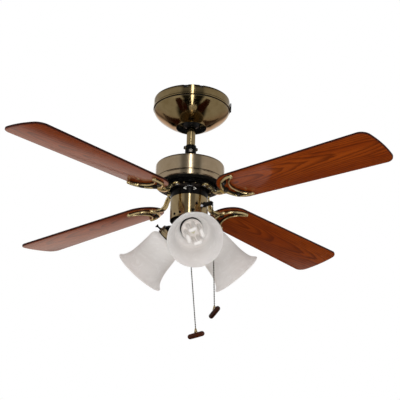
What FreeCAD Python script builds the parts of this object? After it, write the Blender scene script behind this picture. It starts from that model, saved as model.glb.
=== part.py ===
import FreeCAD, Part
import math
import os

# Ceiling fan with a three-light kit. Millimetres, +Z up.
# Origin: centre of the ceiling plane, where the hanger bracket bolts to the outlet box. All hangs to -Z.

# ---------------------------------------------------------------- driving dimensions
CANOPY_R = 92.0            # outside radius of the canopy's upper band
CANOPY_BAND = 24.7         # height of that band
CANOPY_DEPTH = 70.9        # ceiling to the canopy's lower rim
CANOPY_HOLE_R = 36.0       # opening in the canopy's bottom
CANOPY_WALL = 1.2
KNOB_R = 11.5              # flat thumb knobs that hold the canopy
KNOB_Z = -13.5
KNOB_AZ = (0, 90)
ROD_R = 10.4               # downrod, outside
ROD_BORE = 8.2
COUPLING_R = 13.3
COUPLING_TOP = -118.0
COUPLING_BOTTOM = -167.5
BALL_R = 27.0              # hanger ball
BALL_Z = -46.0
PIVOT_Z = BALL_Z
HOUSING_R = 81.2           # motor housing
HOUSING_TOP = -169.0
HOUSING_SEAM = -209.8
HOUSING_BOTTOM = -223.3
HOUSING_WALL = 1.4
FLYWHEEL_R = 60.0
FLYWHEEL_BOTTOM = -232.4
SWITCH_R = 43.9            # switch housing
SWITCH_TOP = -256.2
SWITCH_BOTTOM = -310.4
SWITCH_WALL = 1.2
BLADE_Z = -252.7           # where the blades' middle planes meet the fan axis
BLADE_PITCH = -9.78        # degrees, counter-clockwise edge low
BLADE_DROOP = -1.19        # degrees, tips low
BLADE_T = 5.0
BLADE_ROOT_W = 101.2       # widths across the blade, near the root and near the tip
BLADE_TIP_W = 122.0
BLADE_TIP = 530.0
BLADE_AZ = -41.4           # azimuth of the first blade, the others follow at 90 degrees
IRON_T = 5.0
KIT_TOP = -310.4           # light kit cap
KIT_R = 37.5
HEAD_PIVOT = (34.0, -333.4)    # radius and height of the point that each lamp axis passes through
# name, azimuth, depression of the lamp axis, rise of the pivot, angle of the first thumb screw
HEADS = [("front", -83.4, 34.9, 0.0, 60.0), ("right", 28.5, 41.0, 2.2, 38.0), ("left", 148.5, 41.0, 2.2, 142.0)]
NECK_S = 24.0              # along a lamp axis: pivot point to the shade's neck
SHADE_L = 103.0            # neck to mouth
SHADE_MOUTH_R = 62.8
SHADE_WALL = 2.6
BULB_SKEW = 2.2
FITTER_R = 31.0            # shade holder, outside radius
FITTER_L = 18.0
CHAIN_R = 1.6              # bead chain, as a plain rod of the bead's radius
FAN_NOZZLE_AZ = -35.0
FAN_NOZZLE_Z = -277.5
FAN_CHAIN_TOP = (54.0, -37.8, -274.6)
FAN_CHAIN_END = (62.4, -37.8, -524.6)
LIGHT_CHAIN_TOP = (0.0, 0.0, -329.9)
LIGHT_CHAIN_END = (22.2, 0.0, -567.4)

os.makedirs("parts", exist_ok=True)
V = FreeCAD.Vector
made = {}


def save(name, shape):
    if isinstance(shape, (list, tuple)):
        shape = Part.makeCompound(list(shape))
    shape.exportStep("parts/%s.step" % name)
    made[name] = shape
    vol = sum(s.Volume for s in shape.Solids)
    print("%-24s solids %2d  volume %10.1f  valid %s" % (name, len(shape.Solids), vol, shape.isValid()))


def face_from(points, plane="xz"):
    """Closed face from (a, b) points; a 3-tuple ('arc', (a, b), (a, b)) goes through a middle point."""
    def p(q):
        return V(q[0], 0, q[1]) if plane == "xz" else V(q[0], q[1], 0)
    edges = []
    last = points[0]
    for q in list(points[1:]) + [points[0]]:
        if isinstance(q[0], str) and q[0] == "arc":
            edges.append(Part.Arc(p(last), p(q[1]), p(q[2])).toShape())
            last = q[2]
        elif isinstance(q[0], str) and q[0] == "spl":
            c = Part.BSplineCurve()
            c.interpolate([p(last)] + [p(x) for x in q[1]])
            edges.append(c.toShape())
            last = q[1][-1]
        else:
            if (p(q) - p(last)).Length > 1e-6:
                edges.append(Part.LineSegment(p(last), p(q)).toShape())
            last = q
    return Part.Face(Part.Wire(edges))


def turned(points):
    """Solid of revolution about Z from a closed (r, z) outline."""
    return face_from(points).revolve(V(0, 0, 0), V(0, 0, 1), 360)


def cyl(r, z0, z1, x=0.0, y=0.0):
    return Part.makeCylinder(r, z1 - z0, V(x, y, z0), V(0, 0, 1))


def tube(ro, ri, z0, z1):
    return cyl(ro, z0, z1).cut(cyl(ri, z0 - 1, z1 + 1))


def box(x0, x1, y0, y1, z0, z1):
    return Part.makeBox(x1 - x0, y1 - y0, z1 - z0, V(x0, y0, z0))


def rod(a, b, r):
    a, b = V(*a), V(*b)
    return Part.makeCylinder(r, (b - a).Length, a, b - a)


def spin(shape, az):
    s = shape.copy()
    s.rotate(V(0, 0, 0), V(0, 0, 1), az)
    return s


def fuse(first, *rest):
    s = first
    for r in rest:
        s = s.fuse(r)
    return s.removeSplitter()


def offset_in(points, d):
    """Move a (r, z) polyline by d towards its right-hand side."""
    out = []
    for i, (r, z) in enumerate(points):
        a = points[max(i - 1, 0)]
        b = points[min(i + 1, len(points) - 1)]
        tx, tz = b[0] - a[0], b[1] - a[1]
        n = math.hypot(tx, tz)
        out.append((r + d * tz / n, z - d * tx / n))
    return out


# ---------------------------------------------------------------- ceiling side: bracket, canopy
# Hanger bracket: a strap on the outlet box, two legs, and a ring seat for the ball.
strap = box(-56, 56, -17, 17, -2.4, 0)
for sx in (-1, 1):
    cx = sx * 44.45                       # 88.9 mm between slots, as on a 3-1/2 in outlet box
    slot = fuse(box(cx - 5, cx + 5, -2.6, 2.6, -4, 2), cyl(2.6, -4, 2, cx - 5, 0), cyl(2.6, -4, 2, cx + 5, 0))
    strap = strap.cut(slot)
strap = strap.cut(cyl(9.0, -4, 2))        # wire hole
legs = [box(-56, -53.6, -17, 17, -50, -2.4), box(53.6, 56, -17, 17, -50, -2.4)]
seat_plate = box(-56, 56, -17, 17, -52.4, -50)
seat_ring = cyl(34, -60, -50)
ball_space = Part.makeSphere(BALL_R + 0.05, V(0, 0, BALL_Z))
seat = fuse(seat_plate, seat_ring)
seat = seat.cut(ball_space).cut(cyl(21.5, -70, -40))
bracket = fuse(strap, legs[0], legs[1], seat)
ears = []
for az in (0, 90, 180, 270):              # ears that take the canopy screws
    e = box(86.0, 90.0, -9, 9, -20, -4)
    arm = box(54 if az in (0, 180) else 15, 88.0, -7, 7, -2.4, -0.0)
    drop = box(86.0, 88.4, -7, 7, -20, -0.0)
    piece = fuse(arm, drop)
    piece = piece.cut(Part.makeCylinder(2.1, 12, V(80, 0, KNOB_Z), V(1, 0, 0)))
    ears.append(spin(piece, az + 0.0))
bracket = fuse(bracket, *ears)
save("hanger_bracket", bracket)

bowl = [(90.6, -25.6), (89.6, -30.0), (86.6, -35.0), (82.4, -40.0), (77.2, -45.0), (71.0, -50.0),
        (64.2, -55.0), (56.6, -60.0), (48.4, -64.6), (41.2, -68.0), (CANOPY_HOLE_R, -CANOPY_DEPTH)]
bowl_in = offset_in(bowl, CANOPY_WALL)
bowl_in[0] = (bowl[0][0] - 1.3, bowl[0][1] + 0.6)
canopy = turned([
    (CANOPY_R - 1.2, 0.0), (CANOPY_R, -1.0), (CANOPY_R, -22.0),
    ("arc", (CANOPY_R + 0.5, -23.4), (CANOPY_R, -24.7)), (bowl[0][0], -24.9), bowl[0],
    ("spl", bowl[1:]), bowl_in[-1], ("spl", list(reversed(bowl_in[:-1]))),
    (CANOPY_R - 1.3, -23.0), (CANOPY_R - 1.3, 0.0)])
for az in KNOB_AZ:
    canopy = canopy.cut(spin(Part.makeCylinder(2.4, 14, V(84, 0, KNOB_Z), V(1, 0, 0)), az))
# two bayonet notches in the band's upper edge
for az, w, dp in ((-99.5, 11.0, 8.5), (-76.5, 8.0, 6.5)):
    canopy = canopy.cut(spin(box(86, 96, -w / 2, w / 2, -dp, 1), az))
save("canopy", canopy)

screws = []
for az in KNOB_AZ:
    shank = Part.makeCylinder(2.0, 9.0, V(84.5, 0, KNOB_Z), V(1, 0, 0))
    collar = Part.makeCylinder(4.0, 1.0, V(CANOPY_R + 0.05, 0, KNOB_Z), V(1, 0, 0))
    head = Part.makeCylinder(KNOB_R, 2.4, V(CANOPY_R + 0.65, 0, KNOB_Z), V(1, 0, 0))
    s = fuse(shank, collar, head).cut(box(CANOPY_R + 2.2, CANOPY_R + 4, -6.0, 6.0, KNOB_Z - 0.7, KNOB_Z + 0.7))
    screws.append(spin(s, az))
save("canopy_screws", screws)

block = box(-52.8, -41.0, -13, 13, -26, -12)
for y in (-8.5, 0, 8.5):
    block = block.cut(Part.makeCylinder(2.0, 8, V(-49.0, y, -27), V(0, 0, 1)))
    block = block.cut(Part.makeCylinder(1.6, 5, V(-45.5, y, -19), V(1, 0, 0)))
block = block.fuse(box(-53.6, -52.8, -9, 9, -24, -14)).removeSplitter()
save("terminal_block", block)

# ---------------------------------------------------------------- suspended side: ball, rod, coupling
ball = Part.makeSphere(BALL_R, V(0, 0, BALL_Z)).cut(box(-40, 40, -40, 40, BALL_Z + 14, BALL_Z + 40))
ball = ball.cut(cyl(ROD_R, BALL_Z - 40, BALL_Z + 40))
ball = ball.cut(Part.makeCylinder(3.0, 60, V(-30, 0, BALL_Z), V(1, 0, 0)))
save("hanger_ball", ball)
ball_pin = Part.makeCylinder(3.0, 48, V(-24, 0, BALL_Z), V(1, 0, 0))
save("ball_pin", ball_pin)

down = tube(ROD_R, ROD_BORE, -150.0, -26.0)
down = down.cut(Part.makeCylinder(3.0, 60, V(-30, 0, BALL_Z), V(1, 0, 0)))
down = down.cut(Part.makeCylinder(3.2, 60, V(0, -30, -138), V(0, 1, 0)))
save("downrod", down)

coupling = turned([(ROD_R, COUPLING_TOP), (COUPLING_R - 1.0, COUPLING_TOP), (COUPLING_R, COUPLING_TOP - 1.0),
                   (COUPLING_R, -160.0), (24.0, -163.0), (24.0, COUPLING_BOTTOM - 1.5),
                   (6.5, COUPLING_BOTTOM - 1.5), (6.5, -150.0), (ROD_R, -150.0)])
coupling = coupling.cut(Part.makeCylinder(3.2, 60, V(0, -30, -138), V(0, 1, 0)))
for az in (200, 20):
    coupling = coupling.cut(spin(Part.makeCylinder(2.5, 12, V(ROD_R - 3, 0, -124.5), V(1, 0, 0)), az))
save("motor_coupling", coupling)

pin = Part.makeCylinder(3.2, 37.0, V(0, -18.5, -138), V(0, 1, 0))
pin = fuse(pin, Part.makeCylinder(5.4, 2.4, V(0, -20.9, -138), V(0, 1, 0)))
pin = pin.cut(Part.makeCylinder(1.0, 20, V(-10, 16.6, -138), V(1, 0, 0)))
clip = Part.makeCylinder(1.0, 22.0, V(-11.0, 16.6, -138), V(1, 0, 0))
clip = fuse(clip, Part.makeTorus(3.0, 1.0, V(-13.6, 16.6, -138), V(0, 1, 0)))
save("coupling_pin", [pin, clip])

sets = []
for az in (200, 20):
    sc = fuse(Part.makeCylinder(2.5, 5.5, V(ROD_R, 0, -124.5), V(1, 0, 0)),
              Part.makeCylinder(4.2, 2.6, V(COUPLING_R + 1.6, 0, -124.5), V(1, 0, 0)))
    sc = sc.cut(box(COUPLING_R + 3.0, 30, -5, 5, -125.0, -124.0))
    sets.append(spin(sc, az))
save("coupling_screws", sets)

# ---------------------------------------------------------------- motor
shaft = tube(6.5, 4.0, SWITCH_TOP - 9.0, -150.0)
save("motor_shaft", shaft)

core = tube(38.0, 6.5, -206.0, -192.0)
ring_slots = []
for i in range(16):
    ring_slots.append(spin(box(30.0, 40, -1.5, 1.5, -207, -191), i * 22.5))
core = core.cut(Part.makeCompound(ring_slots))
save("stator_core", core)
wind = [turned([(17, -191.9), (29.4, -191.9), (29.4, -186.5), (26, -184.5), (19, -184.5), (17, -186.5)]),
        turned([(17, -206.1), (29.4, -206.1), (29.4, -211.5), (26, -213.5), (19, -213.5), (17, -211.5)])]
save("stator_windings", wind)

h = HOUSING_WALL
housing = turned([
    (24.3, HOUSING_TOP), (60.0, HOUSING_TOP - 0.4), ("arc", (73.0, HOUSING_TOP - 1.1), (HOUSING_R - 3.4, HOUSING_TOP - 2.9)),
    ("arc", (HOUSING_R - 0.9, HOUSING_TOP - 4.4), (HOUSING_R, HOUSING_TOP - 7.4)), (HOUSING_R, HOUSING_SEAM),
    (HOUSING_R - h, HOUSING_SEAM), (HOUSING_R - h, HOUSING_TOP - 7.6),
    ("arc", (HOUSING_R - h - 0.9, HOUSING_TOP - 5.2), (HOUSING_R - h - 3.0, HOUSING_TOP - 4.2)),
    ("arc", (72.0, HOUSING_TOP - 2.6), (60.0, HOUSING_TOP - 0.4 - h)), (24.3, HOUSING_TOP - h)])
housing = fuse(housing, turned([(6.5, -173.0), (24.3, -173.0), (24.3, HOUSING_TOP), (6.5, HOUSING_TOP)]))
for i in range(3):
    housing = housing.cut(cyl(1.9, -180, -160, 19.5 * math.cos(math.radians(60 + 120 * i)), 19.5 * math.sin(math.radians(60 + 120 * i))))
save("motor_housing", housing)

ring = turned([
    (HOUSING_R + 0.5, HOUSING_SEAM), ("arc", (HOUSING_R + 1.0, HOUSING_SEAM - 1.3), (HOUSING_R + 0.4, HOUSING_SEAM - 2.6)),
    (HOUSING_R - 0.2, HOUSING_BOTTOM + 2.0), ("arc", (HOUSING_R - 1.2, HOUSING_BOTTOM), (HOUSING_R - 3.4, HOUSING_BOTTOM - 0.6)),
    (64.0, HOUSING_BOTTOM - 2.2), (64.0, HOUSING_BOTTOM - 0.8), (HOUSING_R - 4.0, HOUSING_BOTTOM + 1.0),
    (HOUSING_R - 2.2, HOUSING_BOTTOM + 3.0), (HOUSING_R - 1.5, HOUSING_SEAM)])
lugs = []
for i in range(3):
    lugs.append(spin(box(HOUSING_R - 7.0, HOUSING_R - 1.5, -4, 4, HOUSING_SEAM - 2.0, HOUSING_SEAM), 90 + i * 120))
    lugs.append(spin(box(HOUSING_R - 7.0, HOUSING_R - 1.6, -3, 3, HOUSING_SEAM, HOUSING_SEAM + 10), 90 + i * 120))
save("housing_ring", fuse(ring, *lugs))

top_bell = turned([(10.5, -176.0), (14.0, -176.0), (44.0, -178.5), (52.0, -184.0), (52.0, -215.0),
                   (40.0, -215.0), (40.0, -184.5), (30.5, -181.5), (10.5, -181.5)])
vents = [spin(box(20, 34, -3, 3, -185, -170), 22.5 + i * 45) for i in range(8)]
top_bell = top_bell.cut(Part.makeCompound(vents))
save("rotor_top_bell", top_bell)

# Flywheel: lower rotor bell, vented, with a flat seat for the blade irons.
fly = turned([(10.5, -216.0), (30.0, -216.0), (40.0, -215.0), (52.0, -215.0), (FLYWHEEL_R - 2.0, -217.0), (FLYWHEEL_R, -219.0),
              (FLYWHEEL_R, FLYWHEEL_BOTTOM + 1.0), (FLYWHEEL_R - 1.0, FLYWHEEL_BOTTOM), (46.5, FLYWHEEL_BOTTOM),
              (46.5, -225.0), (30.0, -222.0), (10.5, -222.0)])
vents = []
for i in range(12):
    vents.append(spin(box(32.0, 43.0, -2.4, 2.4, -230, -210), 15 + i * 30))
fly = fly.cut(Part.makeCompound(vents))
fins = []
for i in range(24):
    fins.append(spin(box(FLYWHEEL_R - 1.6, FLYWHEEL_R + 1, -1.3, 1.3, -228.5, -220.5), i * 15))
fly = fly.cut(Part.makeCompound(fins))
iron_hole_r, iron_hole_t = 53.0, 8.5
holes = []
for i in range(4):
    for t in (-iron_hole_t, iron_hole_t):
        holes.append(spin(cyl(2.0, -236, -221, iron_hole_r, t), BLADE_AZ + 90 * i))
fly = fly.cut(Part.makeCompound(holes))
save("flywheel", fly)

bearings = [tube(10.5, 6.52, -181.5, -176.0), tube(10.5, 6.52, -222.0, -216.0)]
save("motor_bearings", bearings)

# ---------------------------------------------------------------- blade irons and blades (local: x radial, y counter-clockwise)
def blade_place(shape, i, iron=False):
    """Pitch about the blade's own axis, droop, then swing to its azimuth."""
    s = shape.copy()
    s.rotate(V(0, 0, 0), V(1, 0, 0), BLADE_PITCH)
    s.rotate(V(0, 0, 0), V(0, 1, 0), -BLADE_DROOP)
    s.translate(V(0, 0, BLADE_Z))
    s.rotate(V(0, 0, 0), V(0, 0, 1), BLADE_AZ + 90 * i)
    return s


outline = [(147.0, -BLADE_ROOT_W / 2), (504.0, -BLADE_TIP_W / 2), ("arc", (519.6, -54.6), (526.6, -40.0)),
           ("arc", (BLADE_TIP, 0.0), (526.6, 40.0)), ("arc", (519.6, 54.6), (504.0, BLADE_TIP_W / 2)),
           (147.0, BLADE_ROOT_W / 2), ("arc", (96.4, 0.0), (147.0, -BLADE_ROOT_W / 2))]
blade = face_from(outline, "xy").extrude(V(0, 0, BLADE_T))
blade.translate(V(0, 0, -BLADE_T / 2))
SCREWS = [(130.0, 24.1), (129.3, -30.5), (114.0, -3.2)]
for x, y in SCREWS:
    blade = blade.cut(cyl(1.9, -BLADE_T / 2 - 1, BLADE_T / 2 + 1, x, y))
for i, n in enumerate(("a", "b", "c", "d")):
    save("blade_%s" % n, blade_place(blade, i))

outer = [(163.6, -42.2), (162.2, -46.6), (157.0, -48.4), (149.6, -47.4), (139.6, -44.6), (123.8, -36.2), (112.5, -22.2),
         (107.7, -6.0), (109.3, 9.6), (115.6, 23.9), (126.7, 34.6), (142.7, 38.7), (156.8, 39.8), (162.3, 39.8), (164.4, 36.8)]
inner = [(161.6, 33.9), (153.4, 30.1), (145.5, 22.9), (139.1, 13.2), (135.9, 2.4), (135.4, -10.4), (142.2, -25.6), (151.8, -34.2), (158.8, -38.8)]
hole = [(147.5, -38.4), (128.5, -30.2), (119.8, -18.4), (116.5, -5.0), (117.8, 8.7), (123.0, 19.8), (131.6, 27.8), (146.6, 31.9),
        (139.8, 24.5), (134.3, 14.2), (131.6, 2.9), (131.3, -10.8), (138.0, -27.4)]
crescent = face_from(outer + inner, "xy").extrude(V(0, 0, IRON_T))
crescent = crescent.cut(face_from(hole, "xy").extrude(V(0, 0, IRON_T)))
bosses = [cyl(5.6, 0, IRON_T, x, y) for x, y in SCREWS]
crescent = fuse(crescent, *bosses)
crescent.translate(V(0, 0, -BLADE_T / 2 - IRON_T))
neck = face_from([(92.0, -8.6), (104.0, -9.4), (113.0, -21.0), (113.0, 18.0), (104.0, 9.4), (92.0, 8.6)], "xy").extrude(V(0, 0, IRON_T))
neck.translate(V(0, 0, -BLADE_T / 2 - IRON_T))
for x, y in SCREWS:
    crescent = crescent.cut(cyl(2.3, -20, 0, x, y))
    neck = neck.cut(cyl(2.3, -20, 0, x, y))
crescent = fuse(crescent, neck)
base = FLYWHEEL_BOTTOM
arm_side = [(47.5, base), (47.5, base - 4.4), (58.0, base - 4.4), ("arc", (63.6, base - 8.6), (67.0, base - 18.0)),
            ("arc", (73.4, base - 27.6), (84.0, base - 31.2)), (101.0, base - 31.8), (101.0, base - 26.9), (87.0, base - 26.5),
            ("arc", (78.2, base - 20.4), (73.8, base - 9.0)), ("arc", (68.4, base - 1.8), (60.4, base))]
arm = face_from(arm_side).extrude(V(0, 16.0, 0))
arm.translate(V(0, -8.0, 0))
flange = face_from([(47.5, -13.5), (58.0, -13.5), (61.0, -10.5), (61.0, 10.5), (58.0, 13.5), (47.5, 13.5)], "xy").extrude(V(0, 0, 4.4))
flange.translate(V(0, 0, base - 4.4))
names = ("a", "b", "c", "d")
for i, n in enumerate(names):
    cr = blade_place(crescent, i)
    am = spin(arm, BLADE_AZ + 90 * i)
    fl = spin(flange, BLADE_AZ + 90 * i)
    iron = cr.fuse(am).fuse(fl)
    cut = []
    for t in (-iron_hole_t, iron_hole_t):
        cut.append(spin(cyl(2.3, base - 12, base + 1, iron_hole_r, t), BLADE_AZ + 90 * i))
    iron = iron.cut(Part.makeCompound(cut)).removeSplitter()
    save("blade_iron_%s" % n, iron)

bs = []
for i in range(4):
    for x, y in SCREWS:
        s = fuse(cyl(1.9, -BLADE_T / 2 - IRON_T - 0.2, BLADE_T / 2 + 0.6, x, y), cyl(4.3, -BLADE_T / 2 - IRON_T - 2.4, -BLADE_T / 2 - IRON_T, x, y))
        s = s.cut(box(x - 3.2, x + 3.2, y - 0.5, y + 0.5, -BLADE_T / 2 - IRON_T - 3.0, -BLADE_T / 2 - IRON_T - 1.4))
        bs.append(blade_place(s, i))
save("blade_screws", bs)
isc = []
for i in range(4):
    for t in (-iron_hole_t, iron_hole_t):
        s = fuse(cyl(2.0, base - 4.6, base + 9.0, iron_hole_r, t), cyl(3.9, base - 7.0, base - 4.4, iron_hole_r, t))
        s = s.cut(box(iron_hole_r - 3, iron_hole_r + 3, t - 0.5, t + 0.5, base - 7.5, base - 5.8))
        isc.append(spin(s, BLADE_AZ + 90 * i))
save("iron_screws", isc)

# ---------------------------------------------------------------- switch housing and what it holds
plate = turned([(6.5, -246.0), (12.0, -246.0), (12.0, -238.5), (30.0, -238.5), (41.5, -238.5), (SWITCH_R - 0.6, -240.6),
                (SWITCH_R - 0.6, SWITCH_TOP), (SWITCH_R - 4.0, SWITCH_TOP), (SWITCH_R - 4.0, -242.0), (14.6, -242.0),
                (14.6, -249.0), (6.5, -249.0)])
vee = []
for az in (-106.6, -73.4, 13.4, 46.6, 133.4, 166.6):
    vee.append(spin(box(38, 50, -2.6, 2.6, -247.5, -243.5), az))
plate = plate.cut(Part.makeCompound(vee))
floor = tube(SWITCH_R - 4.0, 6.5, -256.2, -254.2)
plate = fuse(plate, floor)
save("switch_plate", plate)

w = SWITCH_WALL
can = turned([(SWITCH_R - 3.6, SWITCH_TOP), (SWITCH_R - 0.8, SWITCH_TOP), (SWITCH_R, SWITCH_TOP - 0.8), (SWITCH_R, SWITCH_BOTTOM),
              (SWITCH_R - w, SWITCH_BOTTOM), (SWITCH_R - w, SWITCH_TOP - w), (6.8, SWITCH_TOP - w), (6.8, SWITCH_TOP)])
sc_pos = [(-139.0, -303.6), (-118.0, -302.6), (-20.0, -303.6), (100.0, -303.6)]
for az, z in sc_pos:
    can = can.cut(spin(Part.makeCylinder(1.9, 10, V(SWITCH_R - 6, 0, z), V(1, 0, 0)), az))
can = can.cut(spin(Part.makeCylinder(4.4, 10, V(SWITCH_R - 6, 0, FAN_NOZZLE_Z), V(1, 0, 0)), FAN_NOZZLE_AZ))
REV_AZ, REV_Z = -49.0, -282.0
can = can.cut(spin(box(SWITCH_R - 6, SWITCH_R + 4, -2.2, 2.2, REV_Z - 5.2, REV_Z + 6.8), REV_AZ))
can = can.cut(spin(Part.makeCylinder(1.7, 10, V(SWITCH_R - 6, 0, -280.0), V(1, 0, 0)), -66.5))
save("switch_housing", can)

ss = []
for az, z in sc_pos + [(-66.5, -280.0)]:
    s = fuse(Part.makeCylinder(1.7, 6.0, V(SWITCH_R - 4.5, 0, z), V(1, 0, 0)), Part.makeCylinder(3.0, 1.9, V(SWITCH_R + 0.05, 0, z), V(1, 0, 0)))
    s = s.cut(box(SWITCH_R + 1.1, SWITCH_R + 4, -4, 4, z - 0.45, z + 0.45))
    ss.append(spin(s, az))
save("switch_housing_screws", ss)

fan_switch = fuse(box(13.0, 31.0, -8.0, 8.0, -289.0, -266.0), Part.makeCylinder(4.2, 8.5, V(30.5, 0, FAN_NOZZLE_Z), V(1, 0, 0)))
save("fan_switch", spin(fan_switch, FAN_NOZZLE_AZ))
nozz = Part.makeCylinder(4.3, 10.0, V(39.0, 0, FAN_NOZZLE_Z), V(1, 0, 0))
nozz = fuse(nozz, Part.makeCylinder(6.6, 2.2, V(SWITCH_R + 0.1, 0, FAN_NOZZLE_Z), V(1, 0, 0)),
            Part.makeCylinder(4.6, 13.0, V(SWITCH_R + 2.0, 0, FAN_NOZZLE_Z), V(1, 0, 0)),
            Part.makeCone(4.6, 5.6, 2.4, V(58.9, 0, FAN_NOZZLE_Z), V(1, 0, 0)),
            Part.makeCylinder(5.6, 1.9, V(61.3, 0, FAN_NOZZLE_Z), V(1, 0, 0)))
nozz = nozz.cut(Part.makeCylinder(2.6, 30, V(38, 0, FAN_NOZZLE_Z), V(1, 0, 0)))
nozz = nozz.cut(Part.makeCone(2.6, 4.2, 4.0, V(59.3, 0, FAN_NOZZLE_Z), V(1, 0, 0)))
save("fan_chain_nozzle", spin(nozz, FAN_NOZZLE_AZ))

save("reverse_switch", spin(box(34.0, SWITCH_R - w - 0.4, -3.6, 3.6, REV_Z - 9.0, REV_Z + 9.0), REV_AZ))
knob = box(SWITCH_R - w - 0.35, SWITCH_R + 2.8, -1.9, 1.9, REV_Z - 3.4, REV_Z + 0.6)
save("reverse_slider", spin(knob, REV_AZ))

save("capacitor", box(-33.0, -13.0, -14.0, 22.0, -290.0, -262.0))
save("light_switch", box(-10.0, 10.0, -10.0, 10.0, -329.6, KIT_TOP - 1.4))

# ---------------------------------------------------------------- light kit
cap = turned([(KIT_R - 1.4, KIT_TOP), (KIT_R, KIT_TOP - 1.4), (KIT_R, KIT_TOP - 5.6), (KIT_R - 1.0, KIT_TOP - 6.6),
              (14.0, -334.4), (4.4, -334.4), (4.4, -333.0), (12.6, -333.0), (KIT_R - 3.0, KIT_TOP - 6.0), (KIT_R - 3.0, KIT_TOP - 1.4), (0.0 + 8.0, KIT_TOP - 1.4),
              (8.0, KIT_TOP)])
cap_rim = tube(SWITCH_R - w - 0.05, KIT_R - 4.0, KIT_TOP, KIT_TOP + 1.6)
tabs = [spin(box(SWITCH_R - w - 2.6, SWITCH_R - w - 0.5, -5, 5, KIT_TOP, -299.0).cut(
    Part.makeCylinder(1.7, 10, V(SWITCH_R - 6, 0, z), V(1, 0, 0))), az) for az, z in sc_pos]
cap = fuse(cap, cap_rim, *tabs)
save_cap = cap

bush = turned([(4.3, -329.6), (4.3, -334.4), (7.0, -334.4), (7.0, -337.0), (5.6, -338.2), (4.9, -341.5), (3.8, -341.5), (2.6, -335.0), (2.6, -329.6)])
save("light_chain_nozzle", bush)


def head_place(shape, az, dep, rise):
    s = shape.copy()
    s.rotate(V(0, 0, 0), V(0, 1, 0), 90.0 + dep)
    s.translate(V(HEAD_PIVOT[0], 0, HEAD_PIVOT[1] + rise))
    s.rotate(V(0, 0, 0), V(0, 0, 1), az)
    return s


# Lamp head, local +Z along the lamp axis, z = 0 at the pivot point, the neck of the shade at NECK_S.
F0 = NECK_S - FITTER_L          # back of the shade holder
cup = turned([(0.0, F0 - 14.0), (7.0, F0 - 13.6), ("arc", (20.0, F0 - 9.0), (27.0, F0)), (24.6, F0), ("arc", (18.4, F0 - 7.0), (6.0, F0 - 12.0)), (0.0, F0 - 12.0)])
holder = turned([(22.0, F0), (FITTER_R - 1.2, F0), (FITTER_R, F0 + 1.2), (FITTER_R, F0 + 8.0), ("arc", (FITTER_R + 0.7, F0 + 9.0), (FITTER_R, F0 + 10.0)),
                 (FITTER_R, F0 + 16.8), (FITTER_R + 1.0, F0 + FITTER_L), (FITTER_R - 1.2, F0 + FITTER_L), (FITTER_R - 1.2, F0 + 1.4), (22.0, F0 + 1.4)])
socket = turned([(0.0, F0 - 9.5), (9.0, F0 - 9.0), (15.5, F0 - 5.0), (19.0, F0 - 0.4), (19.0, F0 + 1.4), (25.0, F0 + 1.4), (25.0, F0 + 3.0),
                 (20.4, F0 + 3.0), (20.4, F0 + 18.0), (14.4, F0 + 18.0), (14.4, F0 - 2.0), (9.0, F0 - 4.0), (0.0, F0 - 4.0)])
S0 = NECK_S
prof = [(28.2, S0 - 12.0), (28.2, S0 - 1.0), (30.0, S0 + 2.4), (36.0, S0 + 6.0), (40.2, S0 + 10.4), (41.6, S0 + 16.0), (42.4, S0 + 28.0), (43.6, S0 + 44.0),
        (45.0, S0 + 60.0), (47.2, S0 + 74.0), (50.6, S0 + 86.0), (55.6, S0 + 96.0), (SHADE_MOUTH_R, S0 + SHADE_L)]
prof_in = offset_in(prof, -SHADE_WALL)
prof_in[0] = (prof[0][0] - SHADE_WALL, prof[0][1])
neck_out, body_out = prof[:2], prof[2:]
shade = turned([prof[0], prof[1], ("spl", prof[2:]), prof_in[-1], ("spl", list(reversed(prof_in[1:-1]))), prof_in[0]])
T0 = F0 - 4.0                   # bulb contact end
bulb_base = turned([(0.0, T0), (7.0, T0 + 1.2), (13.0, T0 + 5.6), (13.0, T0 + 23.0), (16.0, T0 + 24.4), (22.6, T0 + 28.0), (24.4, T0 + 31.0),
                    (24.4, T0 + 41.0), (23.2, T0 + 43.0), (0.0, T0 + 43.0)])
B1 = T0 + 43.0
TUBE_R, TUBE_L, TUBE_RING = 4.5, 56.0, 16.4
legs_ = []
for i in range(4):
    a0 = math.radians(90 * i + 27.0)
    cx, cy = TUBE_RING * math.cos(a0), TUBE_RING * math.sin(a0)
    tx, ty = -math.sin(a0), math.cos(a0)
    p1 = V(cx - 6.0 * tx, cy - 6.0 * ty, 0)
    p2 = V(cx + 6.0 * tx, cy + 6.0 * ty, 0)
    l1 = Part.makeCylinder(TUBE_R, TUBE_L - 5.6, V(p1.x, p1.y, B1), V(0, 0, 1))
    l2 = Part.makeCylinder(TUBE_R, TUBE_L - 5.6, V(p2.x, p2.y, B1), V(0, 0, 1))
    br = Part.makeCylinder(TUBE_R, (p2 - p1).Length, V(p1.x, p1.y, B1 + TUBE_L - 5.6), p2 - p1)
    e1 = Part.makeSphere(TUBE_R, V(p1.x, p1.y, B1 + TUBE_L - 5.6))
    e2 = Part.makeSphere(TUBE_R, V(p2.x, p2.y, B1 + TUBE_L - 5.6))
    legs_.append(fuse(l1, e1, br, e2, l2))
bulb = fuse(bulb_base, *legs_)

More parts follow.
